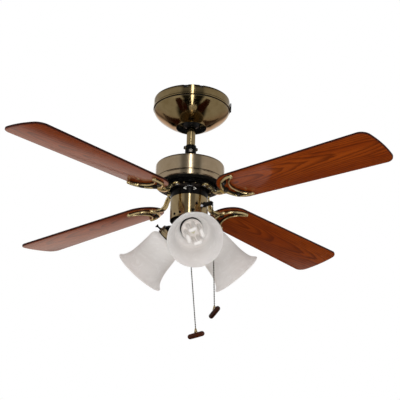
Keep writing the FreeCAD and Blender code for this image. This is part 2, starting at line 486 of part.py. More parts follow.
arms, thumbs, sockets = [], [], []
for name, az, dep, rise, first in HEADS:
    save("socket_cup_%s" % name, head_place(cup, az, dep, rise))
    hold = holder
    for i in range(3):
        hold = hold.cut(spin(Part.makeCylinder(2.05, 12, V(24, 0, F0 + 12.5), V(1, 0, 0)), first + 120 * i))
    save("shade_holder_%s" % name, head_place(hold, az, dep, rise))
    save("shade_%s" % name, head_place(shade, az, dep, rise))
    lamp = bulb.copy()
    if name == "front":               # this lamp stands a little askew in its socket
        lamp.rotate(V(0, 0, T0 + 8.0), V(1, 0, 0), -BULB_SKEW)
    save("bulb_%s" % name, head_place(lamp, az, dep, rise))
    sockets.append(head_place(socket, az, dep, rise))
    nip = Part.makeCylinder(5.5, 9.0, V(0, 0, F0 - 14.0 - 8.8), V(0, 0, 1))
    arms.append(head_place(nip, az, dep, rise))
    for i in range(3):
        s = fuse(Part.makeCylinder(2.0, 12.0, V(28.25, 0, F0 + 12.5), V(1, 0, 0)), Part.makeCone(2.0, 4.6, 3.4, V(39.6, 0, F0 + 12.5), V(1, 0, 0)),
                 Part.makeCylinder(4.6, 1.2, V(43.0, 0, F0 + 12.5), V(1, 0, 0)))
        thumbs.append(head_place(spin(s, first + 120 * i), az, dep, rise))
save("lamp_sockets", sockets)
save("shade_thumb_screws", thumbs)
cups_cut = Part.makeCompound([made["socket_cup_%s" % h_[0]] for h_ in HEADS])
arms = [a.cut(save_cap) for a in arms]
arms2 = []
for a in arms:
    a = a.cut(cups_cut).cut(made["light_switch"])
    arms2.append(max(a.Solids, key=lambda s: s.Volume))
save("light_kit_cap", save_cap)
save("light_arms", arms2)

# ---------------------------------------------------------------- pull chains
def chain(top, end, name, tilt_az, tilt):
    a, b = V(*top), V(*end)
    d = (b - a).normalize()
    save(name + "_chain", Part.makeCylinder(CHAIN_R, (b - a).Length, a, d))
    # bell coupling, then a wooden bar that hangs across the chain
    bell = turned([(0.0, 0.0), (1.8, 0.0), (2.6, -2.0), (3.4, -6.0), (4.2, -8.0), (4.2, -9.6), (0.0, -9.6)])
    rot = FreeCAD.Rotation(V(0, 0, -1), d)
    bell.Placement = FreeCAD.Placement(b, rot)
    save(name + "_chain_bell", bell)
    c = b + d * 9.6
    bar_r, bar_l = 6.0, 40.0
    core_ = Part.makeCylinder(bar_r, bar_l - 2 * bar_r, V(-(bar_l / 2 - bar_r), 0, 0), V(1, 0, 0))
    bar = fuse(core_, Part.makeSphere(bar_r, V(-(bar_l / 2 - bar_r), 0, 0)), Part.makeSphere(bar_r, V(bar_l / 2 - bar_r, 0, 0)))
    bar.rotate(V(0, 0, 0), V(0, 1, 0), tilt)
    bar.rotate(V(0, 0, 0), V(0, 0, 1), tilt_az)
    bar.translate(c + d * (bar_r - 0.6))
    bar = bar.cut(made[name + "_chain_bell"])
    save(name + "_pull_bar", bar)


chain(FAN_CHAIN_TOP, FAN_CHAIN_END, "fan", -60.0, -23.0)
chain(LIGHT_CHAIN_TOP, LIGHT_CHAIN_END, "light", -18.0, -12.0)
print(len(made), "nodes")
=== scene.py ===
import math

import bpy
import bmesh
from mathutils import Matrix, Vector


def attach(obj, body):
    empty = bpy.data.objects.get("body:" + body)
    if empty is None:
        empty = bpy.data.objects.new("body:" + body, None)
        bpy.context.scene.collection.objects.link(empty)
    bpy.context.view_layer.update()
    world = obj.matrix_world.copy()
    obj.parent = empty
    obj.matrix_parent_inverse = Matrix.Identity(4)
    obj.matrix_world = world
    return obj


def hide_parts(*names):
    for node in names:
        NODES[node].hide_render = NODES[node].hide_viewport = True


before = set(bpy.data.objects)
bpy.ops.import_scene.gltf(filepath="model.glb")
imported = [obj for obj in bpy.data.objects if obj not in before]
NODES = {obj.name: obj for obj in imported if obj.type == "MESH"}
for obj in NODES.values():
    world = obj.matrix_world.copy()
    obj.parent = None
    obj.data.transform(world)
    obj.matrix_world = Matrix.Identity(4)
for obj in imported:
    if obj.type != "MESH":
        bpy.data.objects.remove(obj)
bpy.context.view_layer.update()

scene = bpy.context.scene
scene.view_settings.view_transform = "Standard"
MM = 0.001
rad = math.radians

# ================================================================ camera
YAW, PITCH, ROLL = rad(0.558), rad(22.248), rad(1.389)
fwd = Vector((math.sin(YAW) * math.cos(PITCH), math.cos(YAW) * math.cos(PITCH), math.sin(PITCH)))
right = Vector((math.cos(YAW), -math.sin(YAW), 0.0))
up = right.cross(fwd)
cx = right * math.cos(ROLL) + up * math.sin(ROLL)
cy = up * math.cos(ROLL) - right * math.sin(ROLL)
cam_data = bpy.data.cameras.new("camera")
cam_data.sensor_width = 36.0
cam_data.lens = 1191.25 / 400 * 36.0
cam = bpy.data.objects.new("camera", cam_data)
scene.collection.objects.link(cam)
cam.matrix_world = Matrix((
    (cx.x, cy.x, -fwd.x, 0.0), (cx.y, cy.y, -fwd.y, -2.57896), (cx.z, cy.z, -fwd.z, -1.31077), (0, 0, 0, 1)))
scene.camera = cam


# ================================================================ node helpers
class Mat:
    """A material with a Principled shader and short helpers for its nodes."""

    def __init__(self, name, color=(0.8, 0.8, 0.8), rough=0.5, metal=0.0, coord="Object"):
        self.m = bpy.data.materials.new(name)
        self.m.use_nodes = True
        self.t = self.m.node_tree
        self.b = self.t.nodes["Principled BSDF"]
        self.b.inputs["Base Color"].default_value = (*color, 1)
        self.b.inputs["Roughness"].default_value = rough
        self.b.inputs["Metallic"].default_value = metal
        self.vec = self.node("ShaderNodeTexCoord").outputs[coord]
        self.m.diffuse_color = (*color, 1)

    def node(self, kind, **props):
        n = self.t.nodes.new(kind)
        for k, v in props.items():
            setattr(n, k, v)
        return n

    def put(self, sock, value):
        if isinstance(value, bpy.types.NodeSocket):
            self.t.links.new(value, sock)
        else:
            sock.default_value = value

    def math(self, op, a, b=None, c=None):
        n = self.node("ShaderNodeMath", operation=op)
        for i, v in enumerate((a, b, c)):
            if v is not None:
                self.put(n.inputs[i], v)
        return n.outputs[0]

    def sep(self, vec=None):
        n = self.node("ShaderNodeSeparateXYZ")
        self.t.links.new(vec or self.vec, n.inputs[0])
        return n.outputs

    def com(self, x, y, z):
        n = self.node("ShaderNodeCombineXYZ")
        for i, v in enumerate((x, y, z)):
            self.put(n.inputs[i], v)
        return n.outputs[0]

    def stretch(self, scale, loc=(0, 0, 0), vec=None):
        n = self.node("ShaderNodeMapping")
        self.t.links.new(vec or self.vec, n.inputs["Vector"])
        n.inputs["Scale"].default_value = scale
        n.inputs["Location"].default_value = loc
        return n.outputs[0]

    def noise(self, scale, detail=3.0, rough=0.5, vec=None, distortion=0.0):
        n = self.node("ShaderNodeTexNoise")
        self.t.links.new(vec or self.vec, n.inputs["Vector"])
        n.inputs["Scale"].default_value = scale
        n.inputs["Detail"].default_value = detail
        n.inputs["Roughness"].default_value = rough
        n.inputs["Distortion"].default_value = distortion
        return n.outputs["Fac"]

    def ramp(self, fac, stops, mode="LINEAR"):
        n = self.node("ShaderNodeValToRGB")
        n.color_ramp.interpolation = mode
        self.t.links.new(fac, n.inputs[0])
        el = n.color_ramp.elements
        while len(el) < len(stops):
            el.new(0.5)
        for e, (p, c) in zip(el, stops):
            e.position = p
            e.color = (*c, 1) if len(c) == 3 else c
        return n.outputs["Color"]

    def span(self, v, a, b, lo=0.0, hi=1.0, mode="SMOOTHSTEP"):
        n = self.node("ShaderNodeMapRange", interpolation_type=mode)
        self.put(n.inputs["Value"], v)
        for k, x in (("From Min", a), ("From Max", b), ("To Min", lo), ("To Max", hi)):
            n.inputs[k].default_value = x
        return n.outputs["Result"]

    def mix(self, fac, a, b, blend="MIX"):
        n = self.node("ShaderNodeMix", data_type="RGBA", blend_type=blend)
        self.put(n.inputs["Factor"], fac)
        self.put(n.inputs[6], a if isinstance(a, bpy.types.NodeSocket) else (*a, 1))
        self.put(n.inputs[7], b if isinstance(b, bpy.types.NodeSocket) else (*b, 1))
        return n.outputs[2]

    def bump(self, height, strength=0.2, distance=0.0005):
        n = self.node("ShaderNodeBump")
        self.t.links.new(height, n.inputs["Height"])
        n.inputs["Strength"].default_value = strength
        n.inputs["Distance"].default_value = distance
        old = self.b.inputs["Normal"].links
        if old:
            self.t.links.new(old[0].from_socket, n.inputs["Normal"])
        self.t.links.new(n.outputs[0], self.b.inputs["Normal"])

    def color(self, v):
        self.t.links.new(v, self.b.inputs["Base Color"])

    def rough(self, v):
        self.t.links.new(v, self.b.inputs["Roughness"])

    def set(self, **kw):
        for k, v in kw.items():
            self.b.inputs[k.replace("_", " ")].default_value = v
        return self


# ================================================================ studio
FILL = 0.51


def studio():
    w = bpy.data.worlds.new("studio")
    scene.world = w
    w.use_nodes = True
    nt = w.node_tree
    nt.nodes.clear()
    out = nt.nodes.new("ShaderNodeOutputWorld")
    bg = nt.nodes.new("ShaderNodeBackground")
    nt.links.new(bg.outputs[0], out.inputs[0])
    k = Mat.__new__(Mat)
    k.t = nt
    k.vec = nt.nodes.new("ShaderNodeTexCoord").outputs["Generated"]
    x, y, z = k.sep()
    az = k.math("MULTIPLY", k.math("ARCTAN2", x, k.math("MULTIPLY", y, -1.0)), 57.29578)
    el = k.math("MULTIPLY", k.math("ARCSINE", z), 57.29578)
    aa = k.math("ABSOLUTE", az)

    def window(v, a, b, s):
        return k.math("MULTIPLY", k.span(v, a - s, a + s), k.span(v, b - s, b + s, 1.0, 0.0))

    def times(*v):
        r = v[0]
        for q in v[1:]:
            r = k.math("MULTIPLY", r, q)
        return r

    def plus(*v):
        r = v[0]
        for q in v[1:]:
            r = k.math("ADD", r, q)
        return r

    front = k.span(aa, 44.0, 34.0)
    below = window(el, -47.0, 34.0, 5.0)
    sides = times(window(aa, 38.0, 144.0, 7.0), window(el, -60.0, 36.0, 5.0), 0.47)
    patch = times(window(aa, 32.0, 56.0, 4.0), window(el, -40.0, 16.0, 8.0), 0.12)
    mid = times(front, below, 0.33)
    gaps = plus(window(az, -29.0, -5.0, 3.0), window(az, 9.0, 38.0, 3.0))
    mid = times(mid, k.math("SUBTRACT", 1.0, times(gaps, k.span(el, 14.0, 0.0, 0.42, 0.96))))
    strip = times(window(az, -1.7, 3.9, 0.6), window(el, -84.0, 80.0, 3.0), 6.5)
    back = times(k.span(aa, 144.0, 156.0), window(el, -16.0, 60.0, 5.0), 0.92)
    top = times(k.span(el, 34.0, 46.0), k.span(aa, 150.0, 138.0), 0.05)
    low = times(k.span(el, -58.0, -70.0), 0.015)
    env = plus(sides, patch, mid, strip, back, top, low)
    lp = nt.nodes.new("ShaderNodeLightPath")
    # soft even fill for matt surfaces, the room for glossy ones, white behind the object
    fill = plus(k.span(el, 20.0, 50.0, FILL, 0.30), times(window(az, -70.0, 10.0, 25.0), window(el, -60.0, 40.0, 20.0), 0.22))
    env = k.math("ADD", times(env, k.math("SUBTRACT", 1.0, lp.outputs["Is Diffuse Ray"])), times(fill, lp.outputs["Is Diffuse Ray"]))
    cam_ray = lp.outputs["Is Camera Ray"]
    env = k.math("ADD", times(env, k.math("SUBTRACT", 1.0, cam_ray)), cam_ray)
    tint = k.mix(times(k.span(aa, 30.0, 60.0), k.span(aa, 152.0, 140.0)), (1.0, 1.0, 1.0), (1.0, 0.965, 0.93))
    tint = k.mix(times(k.span(aa, 120.0, 145.0), k.span(el, 14.0, 2.0)), tint, (1.0, 0.76, 0.65))
    tint = k.mix(cam_ray, tint, (1.0, 1.0, 1.0))
    nt.links.new(tint, bg.inputs["Color"])
    nt.links.new(env, bg.inputs["Strength"])
    w.cycles.sampling_method = "MANUAL"
    w.cycles.sample_map_resolution = 1024


studio()

# one large soft lamp behind the camera opens up the insides of the shades; glossy surfaces do not see it
key = bpy.data.lights.new("key", "AREA")
key.shape = "DISK"
key.size = 2.2
key.energy = 35.0
key_o = bpy.data.objects.new("key", key)
scene.collection.objects.link(key_o)
key_o.matrix_world = Matrix((
    (cx.x, cy.x, -fwd.x, -0.5), (cx.y, cy.y, -fwd.y, -3.2), (cx.z, cy.z, -fwd.z, -1.45), (0, 0, 0, 1)))
key_o.visible_glossy = False
key_o.visible_camera = False


# ================================================================ materials
def brass(name, light, dark, rough, ring=False, aniso=0.0, mottle=55.0, wear=0.0):
    k = Mat(name, light, rough, 1.0)
    base = k.noise(mottle, 4.0, 0.55)
    col = k.ramp(base, [(0.32, dark), (0.62, light)])
    if ring:
        lines = k.noise(1.0, 2.0, 0.6, vec=k.stretch((22.0, 22.0, 2600.0)))
        col = k.mix(k.span(lines, 0.3, 0.7, 0.0, 0.07, "LINEAR"), col, dark)
        k.rough(k.span(lines, 0.25, 0.75, rough - 0.006, rough + 0.008, "LINEAR"))
    else:
        fine = k.noise(900.0, 2.0, 0.6)
        k.rough(k.span(fine, 0.2, 0.8, rough - 0.04, rough + 0.08, "LINEAR"))
        k.bump(fine, 0.015, 0.0001)
    if wear:
        pits = k.noise(210.0, 5.0, 0.65)
        col = k.mix(k.span(pits, 0.56, 0.72, 0.0, wear), col, tuple(c * 0.35 for c in dark))
    k.color(col)
    if aniso:
        k.set(Anisotropic=aniso, Anisotropic_Rotation=0.25)
        tan = k.node("ShaderNodeTangent", direction_type="RADIAL", axis="Z")
        k.t.links.new(tan.outputs[0], k.b.inputs["Tangent"])
    return k.m


MAT = {}
MAT["housing"] = brass("antique_brass_brushed", (0.585, 0.46, 0.31), (0.525, 0.405, 0.26), 0.25, ring=True, aniso=0.8)
# the housing brass made darker: the extra darkness is painted shade standing in for the dark reflections on the switch
# housing
MAT["switch"] = brass("antique_brass_satin", (0.50, 0.385, 0.215), (0.42, 0.31, 0.155), 0.17, ring=True, aniso=0.75)
MAT["canopy"] = brass("antique_brass_polished", (0.36, 0.27, 0.135), (0.29, 0.21, 0.095), 0.12, ring=True, aniso=0.5)
MAT["iron"] = brass("antique_brass_cast", (0.82, 0.67, 0.36), (0.74, 0.59, 0.29), 0.24, mottle=30.0)
MAT["rod"] = brass("brass_rod", (0.42, 0.32, 0.165), (0.34, 0.25, 0.115), 0.13, ring=True, aniso=0.5)
MAT["fitter"] = brass("brass_fitter", (0.50, 0.40, 0.25), (0.42, 0.32, 0.18), 0.22, mottle=60.0, wear=0.08)
MAT["bright"] = brass("brass_bright", (0.74, 0.60, 0.34), (0.60, 0.46, 0.22), 0.17, mottle=160.0)
MAT["bead"] = brass("chain_bead", (0.085, 0.064, 0.042), (0.032, 0.024, 0.016), 0.2, mottle=400.0)


def dark_metal(name, base, rough, metal=0.0, coat=0.0):
    k = Mat(name, base, rough, metal)
    n = k.noise(140.0, 4.0, 0.6)
    k.color(k.ramp(n, [(0.3, tuple(c * 0.6 for c in base)), (0.75, tuple(min(1.0, c * 1.7) for c in base))]))
    f = k.noise(1500.0, 2.0, 0.5)
    k.rough(k.span(f, 0.2, 0.8, rough - 0.05, rough + 0.1, "LINEAR"))
    k.bump(f, 0.06, 0.0001)
    if coat:
        k.set(Coat_Weight=coat, Coat_Roughness=0.08)
    return k.m


MAT["black"] = dark_metal("black_gloss", (0.0025, 0.0023, 0.0022), 0.2, 0.0)
MAT["black"].node_tree.nodes["Principled BSDF"].inputs["Specular IOR Level"].default_value = 0.08
MAT["blackmatt"] = dark_metal("black_matt", (0.004, 0.0038, 0.0035), 0.5)
MAT["blackmatt"].node_tree.nodes["Principled BSDF"].inputs["Specular IOR Level"].default_value = 0.2
MAT["patina"] = dark_metal("dark_patina", (0.010, 0.0075, 0.0045), 0.45, 0.0)
MAT["patina"].node_tree.nodes["Principled BSDF"].inputs["Specular IOR Level"].default_value = 0.2
MAT["plastic"] = dark_metal("black_plastic", (0.004, 0.004, 0.0042), 0.32, 0.0)
MAT["plastic"].node_tree.nodes["Principled BSDF"].inputs["Specular IOR Level"].default_value = 0.25
MAT["grey"] = dark_metal("grey_plastic", (0.16, 0.16, 0.165), 0.45)
MAT["copper"] = dark_metal("copper_winding", (0.55, 0.22, 0.09), 0.3, 1.0)
MAT["lamination"] = dark_metal("steel_lamination", (0.3, 0.3, 0.31), 0.5, 1.0)


def steel(name, base=(0.62, 0.61, 0.6), rough=0.22):
    k = Mat(name, base, rough, 1.0)
    n = k.noise(300.0, 4.0, 0.6)
    k.color(k.ramp(n, [(0.3, tuple(c * 0.72 for c in base)), (0.7, base)]))
    f = k.noise(1.0, 3.0, 0.6, vec=k.stretch((300.0, 2500.0, 300.0)))
    k.rough(k.span(f, 0.2, 0.8, rough - 0.06, rough + 0.12, "LINEAR"))
    k.bump(f, 0.06, 0.0001)
    return k.m


MAT["zinc"] = steel("zinc_steel")
MAT["darksteel"] = steel("blackened_steel", (0.11, 0.10, 0.09), 0.2)
MAT["bearing"] = steel("bearing_steel", (0.7, 0.7, 0.71), 0.12)


def cherry(name, seed, deep=1.0, M=None, grain=1.0):
    """Cherry veneer: cathedral arches along the piece's own X axis, pores, and a satin lacquer."""
    k = Mat(name, (0.30, 0.07, 0.012), 0.35)
    if M is not None:                     # the piece's own axes, from its place on the fan
        n = k.node("ShaderNodeMapping", vector_type="TEXTURE")
        k.t.links.new(k.vec, n.inputs["Vector"])
        n.inputs["Location"].default_value = M.translation
        n.inputs["Rotation"].default_value = M.to_euler("XYZ")
        k.vec = n.outputs[0]
    x, y, z = k.sep()
    warp = k.noise(1.0, 2.0, 0.45, vec=k.stretch((3.2, 15.0, 15.0), (seed * 3.7, seed * 1.3, 0.0)))
    fine = k.noise(1.0, 3.0, 0.6, vec=k.stretch((9.0, 160.0, 160.0), (seed * 1.7, seed, 0.0)))
    hx = k.math("ADD", k.math("MULTIPLY", x, 0.062), 0.006 + 0.003 * seed)
    yy = k.math("ADD", y, 0.016 * math.sin(seed * 2.1))
    ring = k.math("SQRT", k.math("ADD", k.math("MULTIPLY", yy, yy), k.math("MULTIPLY", hx, hx)))
    ring = k.math("ADD", ring, k.math("MULTIPLY", warp, 0.026))
    ring = k.math("ADD", ring, k.math("MULTIPLY", fine, 0.0035))
    band = k.math("FRACT", k.math("MULTIPLY", ring, 215.0))
    late = k.math("MULTIPLY", k.span(band, 0.30, 0.90, 0.0, 1.0), k.span(band, 0.93, 1.0, 1.0, 0.0))
    broad = k.noise(1.0, 3.0, 0.5, vec=k.stretch((2.6, 20.0, 20.0), (seed, 0.0, 0.0)))
    pores = k.noise(1.0, 4.0, 0.7, vec=k.stretch((26.0, 700.0, 700.0), (0.0, seed, 0.0)))
    c0 = (0.228 * deep, 0.034 * deep, 0.0022 * deep)
    c1 = (0.078 * deep, 0.0095 * deep, 0.0009 * deep)
    c2 = (0.345 * deep, 0.064 * deep, 0.0042 * deep)
    col = k.mix(k.span(broad, 0.3, 0.7, 0.0, 0.85), c0, c2)
    col = k.mix(k.math("MULTIPLY", late, 0.66 * grain), col, c1)
    col = k.mix(k.span(pores, 0.48, 0.70, 0.0, 0.62), col, c1)
    k.color(col)
    k.rough(k.span(pores, 0.3, 0.8, 0.34, 0.46, "LINEAR"))
    k.bump(pores, 0.04, 0.0001)
    k.set(Specular_IOR_Level=0.08, Coat_Weight=0.5, Coat_Roughness=0.12, Coat_IOR=1.45)
    return k.m


def stain(name, a=(0.034, 0.006, 0.0022), b=(0.012, 0.003, 0.0015)):
    k = Mat(name, a, 0.38)
    n = k.noise(1.0, 4.0, 0.6, vec=k.stretch((30.0, 30.0, 900.0)))
    k.color(k.ramp(n, [(0.3, b), (0.7, a)]))
    k.rough(k.span(n, 0.2, 0.8, 0.3, 0.5, "LINEAR"))
    k.bump(n, 0.1, 0.0002)
    k.set(Specular_IOR_Level=0.12)
    return k.m


MAT["edge"] = stain("cherry_edge")
MAT["rim"] = stain("cherry_rim", (0.085, 0.010, 0.0035), (0.040, 0.005, 0.002))
MAT["fob"] = None


def glass():
    k = Mat("alabaster_glass", (0.80, 0.79, 0.77), 0.42)
    n = k.noise(1.0, 5.0, 0.6, vec=k.stretch((11.0, 11.0, 26.0)), distortion=1.6)
    v = k.noise(34.0, 5.0, 0.62, distortion=2.2)
    col = k.ramp(n, [(0.30, (0.78, 0.76, 0.738)), (0.52, (0.715, 0.695, 0.675)), (0.72, (0.81, 0.79, 0.77))])
    col = k.mix(k.span(v, 0.52, 0.70, 0.0, 0.5), col, (0.86, 0.855, 0.845))
    k.color(col)
    k.rough(k.span(v, 0.3, 0.8, 0.34, 0.5, "LINEAR"))
    k.bump(v, 0.04, 0.0004)
    k.set(Specular_IOR_Level=0.15, Subsurface_Weight=1.0, Subsurface_Scale=0.028, IOR=1.45)
    k.b.inputs["Subsurface Radius"].default_value = (1.0, 1.0, 1.0)
    # painted glow: emission that grows towards the neck stands in for light seeping through the glass
    k.set(Emission_Color=(1.0, 0.965, 0.93, 1.0))
    k.t.links.new(k.span(k.sep()[2], 0.022, 0.092, 0.155, 0.0), k.b.inputs["Emission Strength"])
    return k.m


MAT["glass"] = glass()


def china(name, base, rough, coat=0.4, painted_glow=0.0):
    k = Mat(name, base, rough)
    n = k.noise(120.0, 3.0, 0.5)
    k.color(k.ramp(n, [(0.3, tuple(c * 0.95 for c in base)), (0.7, base)]))
    k.rough(k.span(n, 0.2, 0.8, rough - 0.05, rough + 0.08, "LINEAR"))
    k.bump(n, 0.03, 0.0003)
    k.set(Coat_Weight=coat, Coat_Roughness=0.15, Emission_Color=(1.0, 0.90, 0.83, 1.0), Emission_Strength=painted_glow)
    return k.m


# painted glow: the unlit bulb's tubes, ballast and cream parts emit a little light so they read bright inside the
# shades
MAT["lampglass"] = china("lamp_tube", (0.80, 0.775, 0.75), 0.35, 0.10, 0.055)
MAT["ballast"] = china("ballast_plastic", (0.88, 0.845, 0.815), 0.45, 0.06, 0.10)
MAT["cream"] = china("lamp_cream", (0.74, 0.72, 0.52), 0.4, 0.1, 0.07)
MAT["mark"] = china("arrow_paint", (0.85, 0.82, 0.75), 0.4, 0.1)
MAT["white"] = china("white_nylon", (0.80, 0.82, 0.90), 0.35, 0.2)


# ================================================================ mesh helpers (all in millimetres)
def new_obj(name, verts, faces, mats, M=None, sharp=34.0, index=None, loose=None):
    me = bpy.data.meshes.new(name)
    me.from_pydata([Vector(v) * MM for v in verts], [], faces)
    for m in mats if isinstance(mats, (list, tuple)) else [mats]:
        me.materials.append(m)
    if index is not None:
        me.polygons.foreach_set("material_index", index)
    bm = bmesh.new()
    bm.from_mesh(me)
    bmesh.ops.remove_doubles(bm, verts=bm.verts, dist=1e-7)
    bmesh.ops.recalc_face_normals(bm, faces=bm.faces)
    bm.to_mesh(me)
    bm.free()
    return link_mesh(name, me, M, sharp)


def link_mesh(name, me, M=None, sharp=34.0):
    me.polygons.foreach_set("use_smooth", [True] * len(me.polygons))
    me.set_sharp_from_angle(angle=rad(sharp))
    o = bpy.data.objects.new(name, me)
    scene.collection.objects.link(o)
    if M is not None:
        o.matrix_world = M
    return o


def put(o, body, slot, *nodes):
    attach(o, body)
    if nodes:
        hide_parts(*nodes)
    return o


def arc3(p0, p1, p2, n):
    """Points of the arc from p0 through p1 to p2, without p0."""
    ax, ay, bx, by, cx_, cy_ = *p0, *p1, *p2
    d = 2 * (ax * (by - cy_) + bx * (cy_ - ay) + cx_ * (ay - by))
    ux = ((ax * ax + ay * ay) * (by - cy_) + (bx * bx + by * by) * (cy_ - ay) + (cx_ * cx_ + cy_ * cy_) * (ay - by)) / d
    uy = ((ax * ax + ay * ay) * (cx_ - bx) + (bx * bx + by * by) * (ax - cx_) + (cx_ * cx_ + cy_ * cy_) * (bx - ax)) / d
    r = math.hypot(ax - ux, ay - uy)
    a0, a1, a2 = (math.atan2(q[1] - uy, q[0] - ux) for q in (p0, p1, p2))
    two = 2 * math.pi
    ccw = ((a1 - a0) % two) < ((a2 - a0) % two)
    sweep_ = (a2 - a0) % two if ccw else -((a0 - a2) % two)
    return [(ux + r * math.cos(a0 + sweep_ * i / n), uy + r * math.sin(a0 + sweep_ * i / n)) for i in range(1, n + 1)]


def rnd(pts, closed=True, step=14.0):
    """(a, b[, radius]) outline; a corner that carries a radius becomes an arc."""
    out = []
    n = len(pts)
    for i, p in enumerate(pts):
        r_ = p[2] if len(p) > 2 else 0.0
        if r_ <= 0 or (not closed and i in (0, n - 1)):
            out.append((p[0], p[1]))
            continue
        a, b, c = Vector(pts[i - 1][:2]), Vector(p[:2]), Vector(pts[(i + 1) % n][:2])
        u, v = a - b, c - b
        lu, lv = u.length, v.length
        u.normalize()
        v.normalize()
        ang = math.acos(max(-1.0, min(1.0, u.dot(v))))
        if ang > 3.08 or ang < 0.02:
            out.append((p[0], p[1]))
            continue
        t = min(r_ / math.tan(ang / 2), lu * 0.48, lv * 0.48)
        rr = t * math.tan(ang / 2)
        p0, p1 = b + u * t, b + v * t
        ctr = b + (u + v).normalized() * (rr / math.sin(ang / 2))
        a0 = math.atan2(*(p0 - ctr).yx)
        a1 = math.atan2(*(p1 - ctr).yx)
        d = (a1 - a0 + math.pi) % (2 * math.pi) - math.pi
        k_ = max(2, int(abs(math.degrees(d)) / step) + 1)
        for j in range(k_ + 1):
            w = a0 + d * j / k_
            out.append((ctr.x + rr * math.cos(w), ctr.y + rr * math.sin(w)))
    return out


def smooth_line(pts, n=4, closed=False):
    """Catmull-Rom line through the points (any dimension)."""
    P = [Vector(p) for p in pts]
    N = len(P)
    out = []
    for i in range(N if closed else N - 1):
        p0 = P[i - 1] if (i > 0 or closed) else P[0] * 2 - P[1]
        p1, p2 = P[i], P[(i + 1) % N]
        p3 = P[(i + 2) % N] if (i + 2 < N or closed) else P[-1] * 2 - P[-2]
        for j in range(n):
            t = j / n
            out.append(0.5 * (2 * p1 + (p2 - p0) * t + (2 * p0 - 5 * p1 + 4 * p2 - p3) * t * t + (3 * p1 - p0 - 3 * p2 + p3) * t ** 3))
    if not closed:
        out.append(P[-1])
    return [tuple(v) for v in out]


def offset_line(points, d):
    out = []
    for i, (r, z) in enumerate(points):
        a = points[max(i - 1, 0)]
        b = points[min(i + 1, len(points) - 1)]
        tx, tz = b[0] - a[0], b[1] - a[1]
        n = math.hypot(tx, tz)
        out.append((r + d * tz / n, z - d * tx / n))
    return out


def lathe_mesh(pts, seg=96, closed=True, idx=None, verts=None, faces=None, index=None, T=None):
    verts = [] if verts is None else verts
    faces = [] if faces is None else faces
    index = [] if index is None else index
    rings = []
    for r, z in pts:
        if r < 1e-6:
            rings.append([len(verts)])
            v = Vector((0, 0, z))
            verts.append(T @ v if T else v)
        else:
            rings.append(list(range(len(verts), len(verts) + seg)))
            for k_ in range(seg):
                w = 2 * math.pi * k_ / seg
                v = Vector((r * math.cos(w), r * math.sin(w), z))
                verts.append(T @ v if T else v)
    n = len(pts)
    for i in range(n if closed else n - 1):
        A, B = rings[i], rings[(i + 1) % n]
        if len(A) == 1 and len(B) == 1:
            continue
        for k_ in range(seg):
            k2 = (k_ + 1) % seg
            if len(A) == 1:
                faces.append((A[0], B[k_], B[k2]))
            elif len(B) == 1:
                faces.append((A[k_], B[0], A[k2]))
            else:
                faces.append((A[k_], A[k2], B[k2], B[k_]))
            index.append(idx(i, pts[i]) if idx else 0)
    return verts, faces, index


def lathe(name, pts, mats, seg=96, closed=True, idx=None, M=None, sharp=34.0):
    v, f, ix = lathe_mesh(pts, seg, closed, idx)
    return new_obj(name, v, f, mats, M, sharp, ix)


class Build:
    """Collects several parts in one mesh, in millimetres."""

    def __init__(self):
        self.v, self.f, self.i = [], [], []

    def lathe(self, pts, seg=32, T=None, mat=0, closed=True):
        lathe_mesh(pts, seg, closed, lambda i, p: mat, self.v, self.f, self.i, T)
        return self

    def mesh(self, verts, faces, T=None, mat=0):
        o = len(self.v)
        self.v += [T @ Vector(v) if T else Vector(v) for v in verts]
        self.f += [tuple(o + q for q in f) for f in faces]
        self.i += [mat] * len(faces)
        return self

    def me(self, me, T=None, mat=None):
        o = len(self.v)
        self.v += [(T @ (v.co / MM)) if T else v.co / MM for v in me.vertices]
        self.f += [tuple(o + q for q in p.vertices) for p in me.polygons]
        self.i += [p.material_index if mat is None else mat for p in me.polygons]
        return self

    def make(self, name, mats, M=None, sharp=34.0):
        return new_obj(name, self.v, self.f, mats, M, sharp, self.i)


def plate_mesh(outline, z0, z1, bevel=0.8, seg=3, holes=(), lower_only=False):
    """Flat plate from an outline with optional holes; its edges are rounded."""
    bm = bmesh.new()
    edges = []
    for loop in [outline, *holes]:
        vs = [bm.verts.new((p[0], p[1], z0)) for p in loop]
        for i in range(len(vs)):
            edges.append(bm.edges.new((vs[i], vs[(i + 1) % len(vs)])))
    if holes:
        bmesh.ops.triangle_fill(bm, edges=edges, use_beauty=True)
    else:
        bm.faces.new([v for v in bm.verts])
    bm.normal_update()
    ret = bmesh.ops.extrude_face_region(bm, geom=list(bm.faces))
    up_v = [g for g in ret["geom"] if isinstance(g, bmesh.types.BMVert)]
    bmesh.ops.translate(bm, verts=up_v, vec=(0, 0, z1 - z0))
    bmesh.ops.recalc_face_normals(bm, faces=bm.faces)
    if bevel:
        sel = [e for e in bm.edges if len(e.link_faces) == 2 and e.calc_face_angle(0) > rad(60)
               and abs(e.verts[0].co.z - e.verts[1].co.z) < 1e-6
               and (not lower_only or e.verts[0].co.z < (z0 + z1) / 2)]
        bmesh.ops.bevel(bm, geom=sel, offset=bevel, segments=seg, profile=0.5, affect="EDGES", clamp_overlap=True)
    bm.verts.ensure_lookup_table()
    bm.verts.index_update()
    verts = [tuple(v.co) for v in bm.verts]
    faces = [tuple(v.index for v in f.verts) for f in bm.faces]
    normals = [tuple(f.normal) for f in bm.faces]
    bm.free()
    return verts, faces, normals


